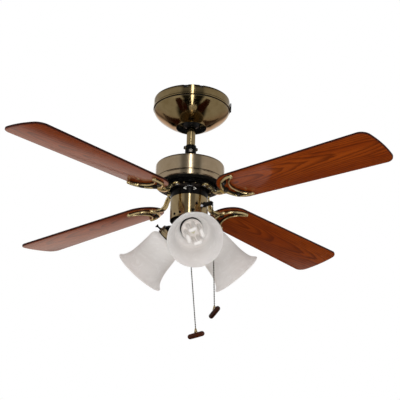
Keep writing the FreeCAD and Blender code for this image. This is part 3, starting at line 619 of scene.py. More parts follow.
def sweep_mesh(path, section, upv=(0, 0, 1), scale=None, closed=False):
    """Carries a closed (u, w) section along a path: u sideways, w along the up direction."""
    P = [Vector(p) for p in path]
    n, m = len(P), len(section)
    verts, faces = [], []
    for i, p in enumerate(P):
        a = P[i - 1] if (i > 0 or closed) else P[0]
        b = P[(i + 1) % n] if (i < n - 1 or closed) else P[-1]
        t = (b - a).normalized()
        s = t.cross(Vector(upv)).normalized()
        w = s.cross(t).normalized()
        sc = scale(i / (n - 1)) if scale else (1.0, 1.0)
        for u_, w_ in section:
            verts.append(p + s * u_ * sc[0] + w * w_ * sc[1])
    for i in range(n if closed else n - 1):
        for j in range(m):
            j2 = (j + 1) % m
            i2 = (i + 1) % n
            faces.append((i * m + j, i * m + j2, i2 * m + j2, i2 * m + j))
    if not closed:
        faces.append(tuple(range(m)))
        faces.append(tuple(range((n - 1) * m, n * m)))
    return verts, faces


def ellipse(a, b, n=14, power=2.0):
    out = []
    for i in range(n):
        w = 2 * math.pi * i / n
        c, s = math.cos(w), math.sin(w)
        e = 2.0 / power
        out.append((a * math.copysign(abs(c) ** e, c), b * math.copysign(abs(s) ** e, s)))
    return out


def cut(o, cutters):
    """Cuts the cutter meshes out of o for good."""
    for c in cutters:
        md = o.modifiers.new("cut", "BOOLEAN")
        md.operation = "DIFFERENCE"
        md.solver = "EXACT"
        md.object = c
    bpy.context.view_layer.update()
    dg = bpy.context.evaluated_depsgraph_get()
    me = bpy.data.meshes.new_from_object(o.evaluated_get(dg))
    o.modifiers.clear()
    old = o.data
    o.data = me
    bpy.data.meshes.remove(old)
    for c in cutters:
        bpy.data.objects.remove(c)
    o.data.polygons.foreach_set("use_smooth", [True] * len(o.data.polygons))
    o.data.set_sharp_from_angle(angle=rad(34))
    return o


def block(x0, x1, y0, y1, z0, z1, T=None, mats=None, bevel=0.0):
    v, f, _ = plate_mesh([(x0, y0), (x1, y0), (x1, y1), (x0, y1)], z0, z1, bevel)
    return new_obj("cutter", [T @ Vector(q) for q in v] if T else v, f, mats or MAT["blackmatt"])


def rot(axis, deg):
    return Matrix.Rotation(rad(deg), 4, axis)


def mv(x, y, z):
    return Matrix.Translation((x, y, z))


def metres(M):
    M = M.copy()
    M.translation = M.translation * MM
    return M


def turned_to(p, d):
    """Frame at p whose local Z points along d."""
    return mv(*p) @ Vector((0, 0, 1)).rotation_difference(Vector(d)).to_matrix().to_4x4()


def screw_head(R, H, slot=0.9, cross=True, shank=0.0, sr=1.9):
    """Pan head along +Z with a recess, as a reusable mesh."""
    pts = [(0.0, H), (R * 0.45, H * 0.97), (R * 0.78, H * 0.80), (R * 0.95, H * 0.5), (R, H * 0.22), (R * 0.96, 0.0)]
    pts += [(sr, 0.0), (sr, -shank), (0.0, -shank)] if shank else [(0.0, 0.0)]
    o = lathe("screw", pts, [MAT["zinc"]], 32)
    cs = [block(-R * 0.72, R * 0.72, -slot / 2, slot / 2, H * 0.45, H + 1)]
    if cross:
        cs.append(block(-slot / 2, slot / 2, -R * 0.72, R * 0.72, H * 0.45, H + 1))
    cut(o, cs[:1])
    if cross:
        cut(o, cs[1:])
    me = o.data
    bpy.data.objects.remove(o)
    return me


# ================================================================ pull chains
CHAINS = {
    "fan": ((54.0, -37.8, -274.6), (62.4, -37.8, -524.6), -60.0, -23.0),
    "light": ((0.0, 0.0, -329.9), (22.2, 0.0, -567.4), -18.0, -12.0),
}


def nurbs_points(points):
    cu = bpy.data.curves.new("route", "CURVE")
    cu.dimensions = "3D"
    cu.resolution_u = 24
    sp = cu.splines.new("NURBS")
    sp.points.add(len(points) - 1)
    for q, p in zip(sp.points, points):
        q.co = (*[c * MM for c in p], 1.0)
    sp.order_u = 3
    sp.use_endpoint_u = True
    o = bpy.data.objects.new("route", cu)
    scene.collection.objects.link(o)
    bpy.context.view_layer.update()
    me = bpy.data.meshes.new_from_object(o.evaluated_get(bpy.context.evaluated_depsgraph_get()))
    pts = [v.co.copy() for v in me.vertices]
    bpy.data.objects.remove(o)
    return pts


def along(pts, s):
    for a, b in zip(pts, pts[1:]):
        L = (b - a).length
        if s <= L:
            return a.lerp(b, s / L), (b - a).normalized()
        s -= L
    return pts[-1].copy(), (pts[-1] - pts[-2]).normalized()


def pull_chain(kind):
    top, end, tilt_az, tilt = CHAINS[kind]
    a, b = Vector(top), Vector(end)
    d = (b - a).normalized()
    route = nurbs_points([tuple(a), tuple(a + d * 19.0), tuple(a.lerp(b, 0.5)), tuple(b)])
    length = sum((q - p).length for p, q in zip(route, route[1:]))
    bead = []
    for i in range(9):
        w = math.pi * i / 8
        bead.append((1.6 * math.sin(w) if 0 < i < 8 else 0.0, 1.6 * math.cos(w)))
    link = [(0.0, 1.1), (0.5, 1.1), (0.5, -1.1), (0.0, -1.1)]
    pitch = 4.0 * MM
    n = int((length - 3.2 * MM) / pitch)
    pitch = (length - 3.2 * MM) / n
    bd = Build()
    for i in range(n + 1):
        p, t = along(route, 1.6 * MM + i * pitch)
        bd.lathe(bead, 12, turned_to(p / MM, t))
        if i < n:
            q, t = along(route, 1.6 * MM + (i + 0.5) * pitch)
            bd.lathe(link, 8, turned_to(q / MM, t))
    body = kind + "_pull"
    ch = put(bd.make("v_%s_chain" % kind, [MAT["bead"]], sharp=50), body, "bead_chain", kind + "_chain")
    # bell connector that holds the last bead
    bell = rnd([(0.0, 0.0), (1.9, 0.0, 0.5), (2.5, -1.6, 0.6), (2.9, -3.6), (3.4, -6.2, 1.5), (4.2, -8.0, 0.8), (4.2, -9.4, 0.4), (3.4, -9.6, 0.3), (0.0, -9.2)])
    bo = lathe("v_%s_bell" % kind, bell, [MAT["bright"]], 40,
               M=metres(mv(*b) @ Vector((0, 0, -1)).rotation_difference(d).to_matrix().to_4x4()))
    put(bo, body, "polished_brass", kind + "_chain_bell")
    # wooden bar across the chain: a turned capsule with a slightly full waist
    R, L = 6.0, 40.0
    prof = []
    for i in range(13):
        w = math.pi / 2 * i / 12
        prof.append((R * 0.97 * math.sin(w), L / 2 - R + R * math.cos(w)))
    prof += [(R * 0.985, 8.0), (R, 3.0), (R, -3.0), (R * 0.985, -8.0)]
    prof += [(r, -z) for r, z in reversed(prof[:13])]
    prof[0] = (0.0, L / 2)
    prof[-1] = (0.0, -L / 2)
    c = b + d * (9.6 + R - 0.6)
    M = mv(*c) @ rot("Z", tilt_az) @ rot("Y", tilt)
    bu = Build().lathe(prof, 48, M @ rot("Y", 90))
    bar = bu.make("v_%s_bar" % kind, [cherry("cherry_fob_" + kind, 1.4, 0.15 if kind == "light" else 0.08, metres(M), 0.6)], sharp=60)
    put(bar, body, "cherry_fob", kind + "_pull_bar")


pull_chain("fan")
pull_chain("light")

# ================================================================ floor
fv = [(-9000, -9000, -6000), (9000, -9000, -6000), (9000, 9000, -6000), (-9000, 9000, -6000)]
fm = Mat("floor_pale", (0.86, 0.86, 0.85), 0.6)
fm.color(fm.ramp(fm.noise(0.8, 3.0), [(0.3, (0.84, 0.84, 0.83)), (0.7, (0.88, 0.88, 0.87))]))
floor = new_obj("floor", fv, [(0, 1, 2, 3)], fm.m)
floor.visible_diffuse = False
floor.visible_glossy = False
floor.visible_transmission = False
floor.visible_shadow = False

# ================================================================ canopy
bowl = [(90.6, -25.6), (89.6, -30.0), (86.6, -35.0), (82.4, -40.0), (77.2, -45.0), (71.0, -50.0),
        (64.2, -55.0), (56.6, -60.0), (48.4, -64.6), (41.2, -68.0), (36.0, -70.9)]
bowl_s = smooth_line(bowl, 5)
inner = offset_line(bowl_s, 1.2)
outer_pts = rnd([(90.8, 0.0, 0.3), (91.0, 0.0, 0.2), (91.45, -1.2), (91.8, -3.6), (91.95, -7.0), (92.0, -11.0), (92.0, -20.6, 3.0), (92.5, -21.6, 0.8), (92.5, -23.8, 0.9), (89.4, -24.5, 0.2), (88.9, -25.2, 0.2), (89.3, -26.0), (90.35, -26.4)], closed=False)
n_outer = len(outer_pts) + len(bowl_s)
lip = [(36.0 - 0.1, -71.4), (35.4, -71.2)]
bowl_s = [q for q in bowl_s if q[1] < -26.8]
prof = outer_pts + bowl_s[:-1] + [(36.3, -70.9), (36.1, -70.9)] + list(reversed(inner[2:-1])) + [(90.7, -23.0), (90.7, -1.0)]
# black matt in the groove under the bead and over the inside of the bowl is painted shade
canopy = lathe("v_canopy", prof, [MAT["canopy"], MAT["blackmatt"]], 160,
               idx=lambda i, p: 0 if (i < n_outer and not (p[0] < 90.0 and p[1] > -26.2 and p[1] < -24.2)) else 1)
cut(canopy, [block(84, 97, -5.5, 5.5, -8.5, 2, rot("Z", -99.5)), block(84, 97, -4.0, 4.0, -6.5, 2, rot("Z", -76.5))])
put(canopy, "ceiling_mount", "antique_brass", "canopy")
# painted shade: a dark sheet inside the canopy, seen through the notches and through the bottom hole
painted_shade_sheet = lathe("v_canopy_painted_shade_sheet", rnd([(88.9, -0.1), (89.3, -0.1), (89.3, -19.5), (88.9, -19.5)]), [MAT["blackmatt"]], 128)
put(painted_shade_sheet, "ceiling_mount", "black_metal")

pan = screw_head(4.2, 2.0, 0.9)
pan_s = screw_head(2.9, 1.7, 0.7, cross=False)
bd = Build()
bd.me(pan_s, turned_to((90.2 * math.cos(rad(-97.5)), 90.2 * math.sin(rad(-97.5)), -4.6), (math.cos(rad(-97.5)), math.sin(rad(-97.5)), 0)))
bd.me(pan_s, turned_to((90.2 * math.cos(rad(-76.3)), 90.2 * math.sin(rad(-76.3)), -3.9), (math.cos(rad(-76.3)), math.sin(rad(-76.3)), 0)))
put(bd.make("v_canopy_notch_screws", [MAT["darksteel"]]), "ceiling_mount", "zinc_steel")
bd = Build()
knob = rnd([(0.0, 2.4), (2.6, 2.4, 0.4), (3.4, 3.0, 0.3), (10.8, 3.0, 0.8), (11.5, 2.0, 0.6), (11.5, 0.6, 0.4), (4.0, 0.6), (4.0, 0.0), (2.0, 0.0), (2.0, -7.5), (0.0, -7.5)])
for w in (0, 90):
    T = turned_to((92.05 * math.cos(rad(w)), 92.05 * math.sin(rad(w)), -13.5), (math.cos(rad(w)), math.sin(rad(w)), 0))
    bd.lathe(knob, 48, T)
put(bd.make("v_canopy_screws", [MAT["black"]]), "ceiling_mount", "black_metal", "canopy_screws")

# ================================================================ downrod and coupling
put(lathe("v_downrod", rnd([(8.2, -26.0), (10.4, -26.0, 0.4), (10.4, -150.0, 0.4), (8.2, -150.0)]), [MAT["rod"], MAT["blackmatt"]], 64,
          idx=lambda i, p: 0), "fan_body", "polished_brass", "downrod")
coup = rnd([(10.45, -117.9), (12.2, -117.9, 0.7), (13.3, -119.2, 0.8), (13.3, -128.6, 0.4), (12.5, -129.2, 0.4), (12.5, -130.4, 0.4),
            (13.3, -131.0, 0.4), (13.3, -159.0, 2.0), (24.0, -163.0, 1.2), (24.0, -168.95), (6.5, -168.95), (6.5, -150.0), (10.45, -150.0)])
put(lathe("v_motor_coupling", coup, [MAT["black"]], 72), "fan_body", "black_metal", "motor_coupling")
bd = Build()
for w in (200, 20):
    c_, s_ = math.cos(rad(w)), math.sin(rad(w))
    bd.me(screw_head(4.2, 2.2, 0.9, cross=False, shank=3.4, sr=2.4), turned_to((15.3 * c_, 15.3 * s_, -124.5), (c_, s_, 0)))
    bd.lathe(rnd([(2.5, 0.0), (4.3, 0.0, 0.3), (4.3, 1.0, 0.3), (2.5, 1.0)]), 6, turned_to((13.35 * c_, 13.35 * s_, -124.5), (c_, s_, 0)), 1)
put(bd.make("v_coupling_screws", [MAT["darksteel"], MAT["bright"]]), "fan_body", "zinc_steel", "coupling_screws")
bd = Build()
bd.lathe(rnd([(0.0, -2.4), (4.6, -2.4, 0.9), (5.4, -1.2, 0.6), (5.4, 0.0, 0.3), (3.2, 0.0), (3.2, 36.2, 0.8), (0.0, 37.0)]), 40, turned_to((0, -18.5, -138), (0, 1, 0)))
ringp = [(-13.6 + 3.2 * math.cos(w), 16.6, -138 + 3.2 * math.sin(w)) for w in [2 * math.pi * i / 28 + 0.25 for i in range(27)]]
bd.mesh(*sweep_mesh(ringp + [(-8, 16.6, -138.0), (0, 16.6, -138.0), (11.0, 16.6, -138.0)], ellipse(0.85, 0.85, 10), (0, 1, 0)))
put(bd.make("v_coupling_pin", [MAT["darksteel"]]), "fan_body", "zinc_steel", "coupling_pin")

# ================================================================ motor housing and its lower ring
hs = [(24.3, -169.2)] + [(24.3, -169.0), (44.0, -169.05)] + smooth_line([(60.0, -169.4), (73.0, -170.1), (77.8, -171.9), (80.3, -173.4), (81.2, -176.4)], 6)
hs += rnd([(81.2, -178.0), (81.2, -208.9, 0.5), (80.6, -209.3, 0.2), (79.8, -209.4)], closed=False)
hs += [(79.8, -177.0), (77.0, -173.4), (60.0, -170.8), (24.3, -170.5)]
n_h = len(hs) - 4
# black matt over the inside of the dome is painted shade
put(lathe("v_motor_housing", hs, [MAT["housing"], MAT["blackmatt"]], 160, idx=lambda i, p: 0 if i < n_h else 1),
    "fan_body", "antique_brass", "motor_housing")
# black matt on the underside of the lower lip is painted shade under the housing
rg = rnd([(79.8, -210.9), (81.2, -210.9, 0.3), (82.0, -211.4, 0.4), (81.8, -212.2, 0.8), (81.0, -213.2, 0.5), (80.95, -220.6, 2.0), (79.6, -223.2, 1.6),
          (77.4, -223.9, 1.0), (64.0, -225.4, 0.5), (64.0, -224.1, 0.4), (76.8, -222.4, 1.0), (79.0, -220.2)])
put(lathe("v_housing_ring", rg, [MAT["housing"], MAT["blackmatt"]], 160, idx=lambda i, p: 1 if p[0] < 79.7 and p[1] < -215 else 0), "fan_body", "antique_brass", "housing_ring")

# ================================================================ flywheel: black, vented, ribbed
fly = rnd([(10.5, -216.0), (30.0, -216.0, 0.6), (40.0, -215.0), (52.0, -215.0, 1.0), (58.0, -217.0, 1.0), (58.4, -219.4, 0.6), (58.4, -229.4, 0.5),
           (60.0, -229.9, 0.5), (60.0, -231.6, 0.7), (59.0, -232.4, 0.5), (46.5, -232.4, 0.5), (46.5, -225.6, 0.8), (30.0, -222.6, 1.2), (10.5, -222.0)])
bd = Build().lathe(fly, 120)
for i in range(24):
    T = rot("Z", i * 15 + 7.5)
    v, f, _ = plate_mesh([(57.6, -4.6), (60.0, -4.9), (60.0, 4.9), (57.6, 4.6)], -229.0, -219.6, 0.45, 2)
    bd.mesh(v, f, T)
for i in range(12):                       # radial ribs on the underside, between the vents
    v, f, _ = plate_mesh([(31.0, -1.0), (46.6, -1.3), (46.6, 1.3), (31.0, 1.0)], -228.8, -222.4, 0.4, 2)
    bd.mesh(v, f, rot("Z", i * 30))
put(bd.make("v_flywheel", [MAT["black"]]), "rotor", "black_metal", "flywheel")
bd = Build()
for i in range(12):                       # bright balance rivets between the ribs
    T = rot("Z", i * 30 + 15)
    bd.lathe(rnd([(0.0, -1.0), (1.3, -0.8, 0.4), (1.9, 0.0), (0.0, 0.0)]), 16, T @ mv(50.2, 0, -232.35))
put(bd.make("v_flywheel_rivets", [MAT["bright"]]), "rotor", "polished_brass")

# ================================================================ switch plate (black, with bright arrow marks) and switch housing
pl = rnd([(6.5, -246.0), (12.0, -246.0), (12.0, -238.5), (41.0, -238.5, 1.2), (43.3, -240.6, 1.0), (43.3, -256.2), (39.9, -256.2), (39.9, -242.0), (14.6, -242.0),
          (14.6, -254.2), (6.5, -254.2)])
put(lathe("v_switch_plate", pl, [MAT["black"]], 96), "fan_body", "black_metal", "switch_plate")
bd = Build()
for az_, sgn in ((-104.4, 1), (-73.4, -1), (13.4, 1), (46.6, -1), (133.4, 1), (166.6, -1)):
    pts = []
    for u_, w_ in ((sgn * 3.4, 2.8), (-sgn * 3.4, 0.0), (sgn * 3.4, -2.8)):
        a_ = rad(az_ + math.degrees(u_ / 43.6))
        pts.append((43.5 * math.cos(a_), 43.5 * math.sin(a_), -243.7 + w_))
    n_ = (math.cos(rad(az_)), math.sin(rad(az_)), 0)
    for p, q in zip(pts, pts[1:]):
        bd.mesh(*sweep_mesh([p, tuple((Vector(p) + Vector(q)) / 2), q], ellipse(0.62, 0.5, 8), n_))
put(bd.make("v_switch_plate_marks", [MAT["mark"]]), "fan_body", "zinc_steel")

cn = rnd([(40.3, -256.25), (43.2, -256.25, 0.5), (43.9, -257.4, 0.7), (43.9, -306.2, 0.5), (43.5, -306.8, 0.3), (43.5, -307.8, 0.3), (43.9, -308.4, 0.4),
          (43.9, -310.3, 0.3), (42.7, -310.4), (42.7, -257.4), (40.3, -257.4)])
can = lathe("v_switch_housing", cn, [MAT["switch"]], 144)
cyl_cut = lathe("cutter", [(0, -8), (4.4, -8), (4.4, 8), (0, 8)], MAT["blackmatt"], 32, M=metres(rot("Z", -35) @ mv(44, 0, -277.5) @ rot("Y", 90)))
cut(can, [block(38, 50, -2.2, 2.2, -287.2, -275.2, rot("Z", -49)), cyl_cut])
put(can, "fan_body", "antique_brass", "switch_housing")
# painted shade: a dark sleeve inside the switch housing, seen through its cut-outs
put(lathe("v_switch_painted_shade_sheet", [(41.0, -258.0), (41.4, -258.0), (41.4, -309.0), (41.0, -309.0)], [MAT["blackmatt"]], 72), "fan_body", "black_metal")

head5 = screw_head(3.0, 1.9, 0.7)
bd = Build()
for az_, z_ in ((-139.0, -303.6), (-118.0, -302.6), (-20.0, -303.6), (100.0, -303.6), (-66.5, -280.0)):
    c_, s_ = math.cos(rad(az_)), math.sin(rad(az_))
    bd.me(head5, turned_to((43.95 * c_, 43.95 * s_, z_), (c_, s_, 0)) @ rot("Z", 20 + az_), 0)
put(bd.make("v_housing_screws", [MAT["black"]]), "fan_body", "black_metal", "switch_housing_screws")

# reverse slide knob: a ribbed nylon button
bd = Build()
v, f, _ = plate_mesh([(42.4, -1.9), (46.0, -1.9), (46.0, 1.9), (42.4, 1.9)], -285.4, -281.4, 0.45, 3)
bd.mesh(v, f)
for j in range(3):
    v, f, _ = plate_mesh([(45.9, -1.5), (46.65, -1.5), (46.65, 1.5), (45.9, 1.5)], -284.9 + j * 1.3, -284.3 + j * 1.3, 0.2, 2)
    bd.mesh(v, f)
put(bd.make("v_reverse_knob", [MAT["white"]], metres(rot("Z", -49))), "reverse_knob", "white_nylon", "reverse_slider")

nz = rnd([(2.6, -6.9), (4.3, -6.9), (4.3, 0.1), (6.6, 0.1, 0.3), (6.6, 2.2, 0.7), (4.9, 2.4, 0.4), (4.6, 3.4), (4.6, 6.6, 0.2), (5.0, 7.0, 0.2), (5.0, 8.0, 0.2),
          (4.6, 8.4, 0.2), (4.6, 14.9, 0.8), (5.6, 17.4, 0.5), (5.6, 19.3, 0.5), (4.2, 19.3, 0.3), (2.6, 15.3, 0.6)])
put(lathe("v_fan_nozzle", nz, [MAT["plastic"]], 48, M=metres(rot("Z", -35) @ mv(43.9, 0, -277.5) @ rot("Y", 90))), "fan_body", "black_plastic", "fan_chain_nozzle")

# ================================================================ light kit cap and bush
kc = rnd([(36.1, -310.4), (37.5, -311.8, 0.9), (37.5, -316.0, 1.4), (36.0, -317.4, 1.2), (29.0, -322.6), (20.0, -330.0, 4.0), (14.0, -334.2, 1.2), (4.4, -334.4),
          (4.4, -333.0), (12.6, -333.0), (34.5, -316.4), (34.5, -311.8), (8.0, -311.8), (8.0, -310.4)])
put(lathe("v_light_kit_cap", kc, [MAT["patina"]], 96), "fan_body", "antique_brass", "light_kit_cap")
bu = rnd([(4.3, -329.6), (4.3, -334.4), (7.0, -334.4, 0.3), (7.0, -337.0, 0.6), (5.6, -338.2, 0.5), (4.9, -341.5, 0.3), (3.8, -341.5, 0.3), (2.6, -335.0), (2.6, -329.6)])
put(lathe("v_light_nozzle", bu, [MAT["bright"]], 40), "fan_body", "polished_brass", "light_chain_nozzle")

# ================================================================ lamp heads
HEADS = [("front", -83.4, 34.9, 0.0, 60.0), ("right", 28.5, 41.0, 2.2, 38.0), ("left", 148.5, 41.0, 2.2, 142.0)]
S0, F0 = 24.0, 6.0
T0 = F0 - 4.0
shade_out = [(30.0, S0 + 2.4), (36.0, S0 + 6.0), (40.2, S0 + 10.4), (41.6, S0 + 16.0), (42.4, S0 + 28.0), (43.6, S0 + 44.0), (45.0, S0 + 60.0),
             (47.2, S0 + 74.0), (50.6, S0 + 86.0), (55.6, S0 + 96.0), (62.6, S0 + 102.8)]
so = smooth_line(shade_out, 6)
si = offset_line(so, -2.6)
shade_prof = [(28.2, S0 - 12.0), (28.2, S0 - 1.2), (28.6, S0 + 1.0), *so]
m0, m1 = Vector(so[-1]), Vector(si[-1])
ctr, half = (m0 + m1) / 2, (m0 - m1) / 2
for j in range(1, 6):                      # rounded lip of the mouth
    w = math.pi * j / 6
    t_ = Vector((-half.y, half.x))
    t_ = t_ if t_.y > 0 else -t_
    q = ctr + half * math.cos(w) + t_ * math.sin(w) * 0.55
    shade_prof.append((q.x, q.y))
shade_prof += list(reversed(si)) + [(26.4, S0 + 1.6), (25.6, S0 - 1.2), (25.6, S0 - 12.0)]
cup = rnd([(0.0, F0 - 14.0), (7.0, F0 - 13.6, 0.6)] + arc3((7.0, F0 - 13.6), (20.0, F0 - 9.0), (27.0, F0 - 0.2), 10)[:-1]
          + [(27.0, F0 - 0.2, 0.4), (24.6, F0), (18.4, F0 - 7.0), (6.0, F0 - 12.0), (0.0, F0 - 12.0)])
hold = rnd([(22.0, F0), (29.8, F0, 0.5), (31.0, F0 + 1.2, 0.8), (31.0, F0 + 7.6, 0.5), (31.7, F0 + 8.4, 0.5), (31.7, F0 + 9.6, 0.5), (31.0, F0 + 10.4, 0.5),
            (31.0, F0 + 16.2, 0.6), (32.0, F0 + 17.2, 0.4), (32.0, F0 + 18.0, 0.3), (29.8, F0 + 18.0), (29.8, F0 + 1.4), (22.0, F0 + 1.4)])
thumb = rnd([(0.0, 0.0), (2.0, 0.0), (2.0, 11.4, 0.8), (4.5, 14.6, 0.6), (4.6, 15.9, 0.35), (3.4, 15.95), (3.0, 15.3), (0.0, 15.3)])
knurl = rnd([(2.0, 0.0), (3.1, 0.0, 0.3), (3.1, 1.5, 0.3), (2.0, 1.5)])


def lamp_mesh():
    bd_ = Build()
    base = rnd([(0.0, T0), (7.0, T0 + 1.2, 0.8), (13.0, T0 + 5.6, 0.8), (13.0, T0 + 22.6, 0.6), (16.0, T0 + 24.4), (22.6, T0 + 28.0, 1.5), (24.4, T0 + 31.0, 1.2),
                (24.4, T0 + 40.6, 1.4), (23.0, T0 + 42.6, 1.2), (20.6, T0 + 43.0), (0.0, T0 + 43.0)])
    bd_.lathe(base, 72, mat=0)
    B1 = T0 + 43.0
    for i in range(4):
        a_ = rad(90 * i + 27)
        c_, s_ = math.cos(a_), math.sin(a_)
        mx, my = 16.4 * c_, 16.4 * s_
        tx, ty = -s_, c_
        H = B1 + 56.0 - 5.6
        path = [(mx - 6 * tx, my - 6 * ty, B1 - 1)]
        path += [(mx - 6 * tx, my - 6 * ty, B1 + z_) for z_ in (12, 30, 44, 47.5)]
        for u_, h_ in ((-5.75, 49.2), (-4.9, 50.1), (-3.6, 50.4), (0, 50.4), (3.6, 50.4), (4.9, 50.1), (5.75, 49.2)):
            path.append((mx + u_ * tx, my + u_ * ty, B1 + h_))
        path += [(mx + 6 * tx, my + 6 * ty, B1 + z_) for z_ in (47.5, 44, 30, 12)]
        path.append((mx + 6 * tx, my + 6 * ty, B1 - 1))
        v_, f_ = sweep_mesh(path, ellipse(4.5, 4.5, 18), (c_, s_, 0.0001))
        bd_.mesh(v_, f_, mat=1)
        for sg in (-1, 1):                # collars where the tubes leave the base
            bd_.lathe(rnd([(4.4, 0.0), (5.6, 0.0), (5.4, 1.6, 0.5), (4.4, 1.6)]), 24, mv(mx + sg * 6 * tx, my + sg * 6 * ty, B1 - 0.2), 0)
    bd_.lathe(rnd([(0.0, B1 - 0.5), (8.6, B1 - 0.5), (8.2, B1 + 1.2, 0.6), (0.0, B1 + 1.2)]), 4, rot("Z", 27 + 0), 2)
    return bd_


arms = Build()
thumbs = Build()
for name, az_, dep, rise, first in HEADS:
    H_ = rot("Z", az_) @ mv(34.0, 0, -333.4 + rise) @ rot("Y", 90 + dep)
    put(lathe("v_shade_" + name, shade_prof, [MAT["glass"]], 128, M=metres(H_), sharp=60), "fan_body", "frosted_glass", "shade_" + name)
    put(lathe("v_socket_cup_" + name, cup, [MAT["black"]], 72, M=metres(H_)), "fan_body", "black_metal", "socket_cup_" + name)
    n_hold = len(hold)
    put(lathe("v_shade_holder_" + name, hold, [MAT["fitter"], MAT["black"]], 96, M=metres(H_),
              idx=lambda i, p: 1 if (p[1] < F0 + 1.5 or p[1] > F0 + 15.9) else 0), "fan_body", "antique_brass", "shade_holder_" + name)
    L_ = H_
    if name == "front":
        L_ = H_ @ mv(0, 0, T0 + 8.0) @ rot("X", -2.2) @ mv(0, 0, -(T0 + 8.0))
    put(lamp_mesh().make("v_bulb_" + name, [MAT["ballast"], MAT["lampglass"], MAT["cream"]], metres(L_), 40), "fan_body", "lamp_white", "bulb_" + name)
    p0 = H_ @ Vector((0, 0, F0 - 13.5))
    p1 = H_ @ Vector((0, 0, F0 - 22.0))
    r0 = rot("Z", az_)
    base_p = r0 @ Vector((17.0, 0, -325.0 + rise * 0.5))
    mid_p = (p1 + base_p) / 2
    arms.mesh(*sweep_mesh(smooth_line([tuple(base_p), tuple(mid_p), tuple(p1), tuple(p0)], 5), ellipse(5.4, 5.4, 24), (r0 @ Vector((0, 1, 0)))))
    arms.lathe(rnd([(5.3, 0.0), (7.6, 0.0, 0.5), (7.6, 2.4, 0.5), (5.3, 2.4)]), 6, H_ @ mv(0, 0, F0 - 16.6), 1)
    for i in range(3):
        T = H_ @ rot("Z", first + 120 * i) @ mv(28.25, 0, F0 + 12.5) @ rot("Y", 90)
        thumbs.lathe(thumb, 32, T)
        thumbs.lathe(knurl, 6, T @ mv(0, 0, 3.5))
put(arms.make("v_light_arms", [MAT["fitter"], MAT["black"]]), "fan_body", "antique_brass", "light_arms")
put(thumbs.make("v_thumb_screws", [MAT["black"]]), "fan_body", "black_metal", "shade_thumb_screws")

# ================================================================ blades, irons and their screws
BLADE_T, IRON_T = 5.0, 5.0
out = [(147.0, -50.6), (240.0, -53.3), (340.0, -56.2), (430.0, -58.9), (504.0, -61.0)]
out += arc3((504.0, -61.0), (519.6, -54.6), (526.6, -40.0), 8)
out += arc3((526.6, -40.0), (530.0, 0.0), (526.6, 40.0), 16)
out += arc3((526.6, 40.0), (519.6, 54.6), (504.0, 61.0), 8)
out += [(430.0, 58.9), (340.0, 56.2), (240.0, 53.3), (147.0, 50.6)]
out += arc3((147.0, 50.6), (96.4, 0.0), (147.0, -50.6), 32)[:-1]
SCREWS = [(130.0, 24.1), (129.3, -30.5), (114.0, -3.2)]
c_outer = [(163.6, -42.2), (162.2, -46.6), (157.0, -48.4), (149.6, -47.4), (139.6, -44.6), (123.8, -36.2), (112.5, -22.2),
           (107.7, -6.0), (109.3, 9.6), (115.6, 23.9), (126.7, 34.6), (142.7, 38.7), (156.8, 39.8), (162.3, 39.8), (164.4, 36.8)]
c_inner = [(161.6, 33.9), (153.4, 30.1), (145.5, 22.9), (139.1, 13.2), (135.9, 2.4), (135.4, -10.4), (142.2, -25.6), (151.8, -34.2), (158.8, -38.8)]
c_hole = [(147.5, -38.4), (128.5, -30.2), (119.8, -18.4), (116.5, -5.0), (117.8, 8.7), (123.0, 19.8), (131.6, 27.8), (146.6, 31.9),
          (139.8, 24.5), (134.3, 14.2), (131.6, 2.9), (131.3, -10.8), (138.0, -27.4)]
crescent = smooth_line(c_outer, 3)[:-1] + [c_outer[-1]] + smooth_line(c_inner, 3)
hole_s = smooth_line(c_hole, 2, closed=True)
base_z = -232.4
arm_path = smooth_line([(48.5, 0, -2.2), (57.0, 0, -2.3), (64.6, 0, -4.4), (70.0, 0, -13.0), (75.6, 0, -23.6), (85.5, 0, -28.8), (101.0, 0, -29.4)], 5)
arm_path = [(p[0], p[1], p[2] + base_z) for p in arm_path]
neck_o = smooth_line([(90.0, -8.0), (98.0, -8.4), (104.5, -10.2), (110.0, -16.0), (114.0, -22.0)], 4) + smooth_line([(114.0, 19.0), (110.0, 14.5), (104.5, 10.0), (98.0, 8.4), (90.0, 8.0)], 4)
flange_o = rnd([(47.5, -13.5, 3.0), (58.0, -13.5, 3.0), (61.0, -9.5, 2.0), (61.0, 9.5, 2.0), (58.0, 13.5, 3.0), (47.5, 13.5, 3.0)])


def arm_scale(t):
    w = 1.0 + 0.35 * max(0.0, 1 - t / 0.25) ** 2 - 0.10 * math.sin(math.pi * min(1.0, t * 1.1)) + 0.10 * max(0.0, t - 0.85) / 0.15
    return (w, 1.0)


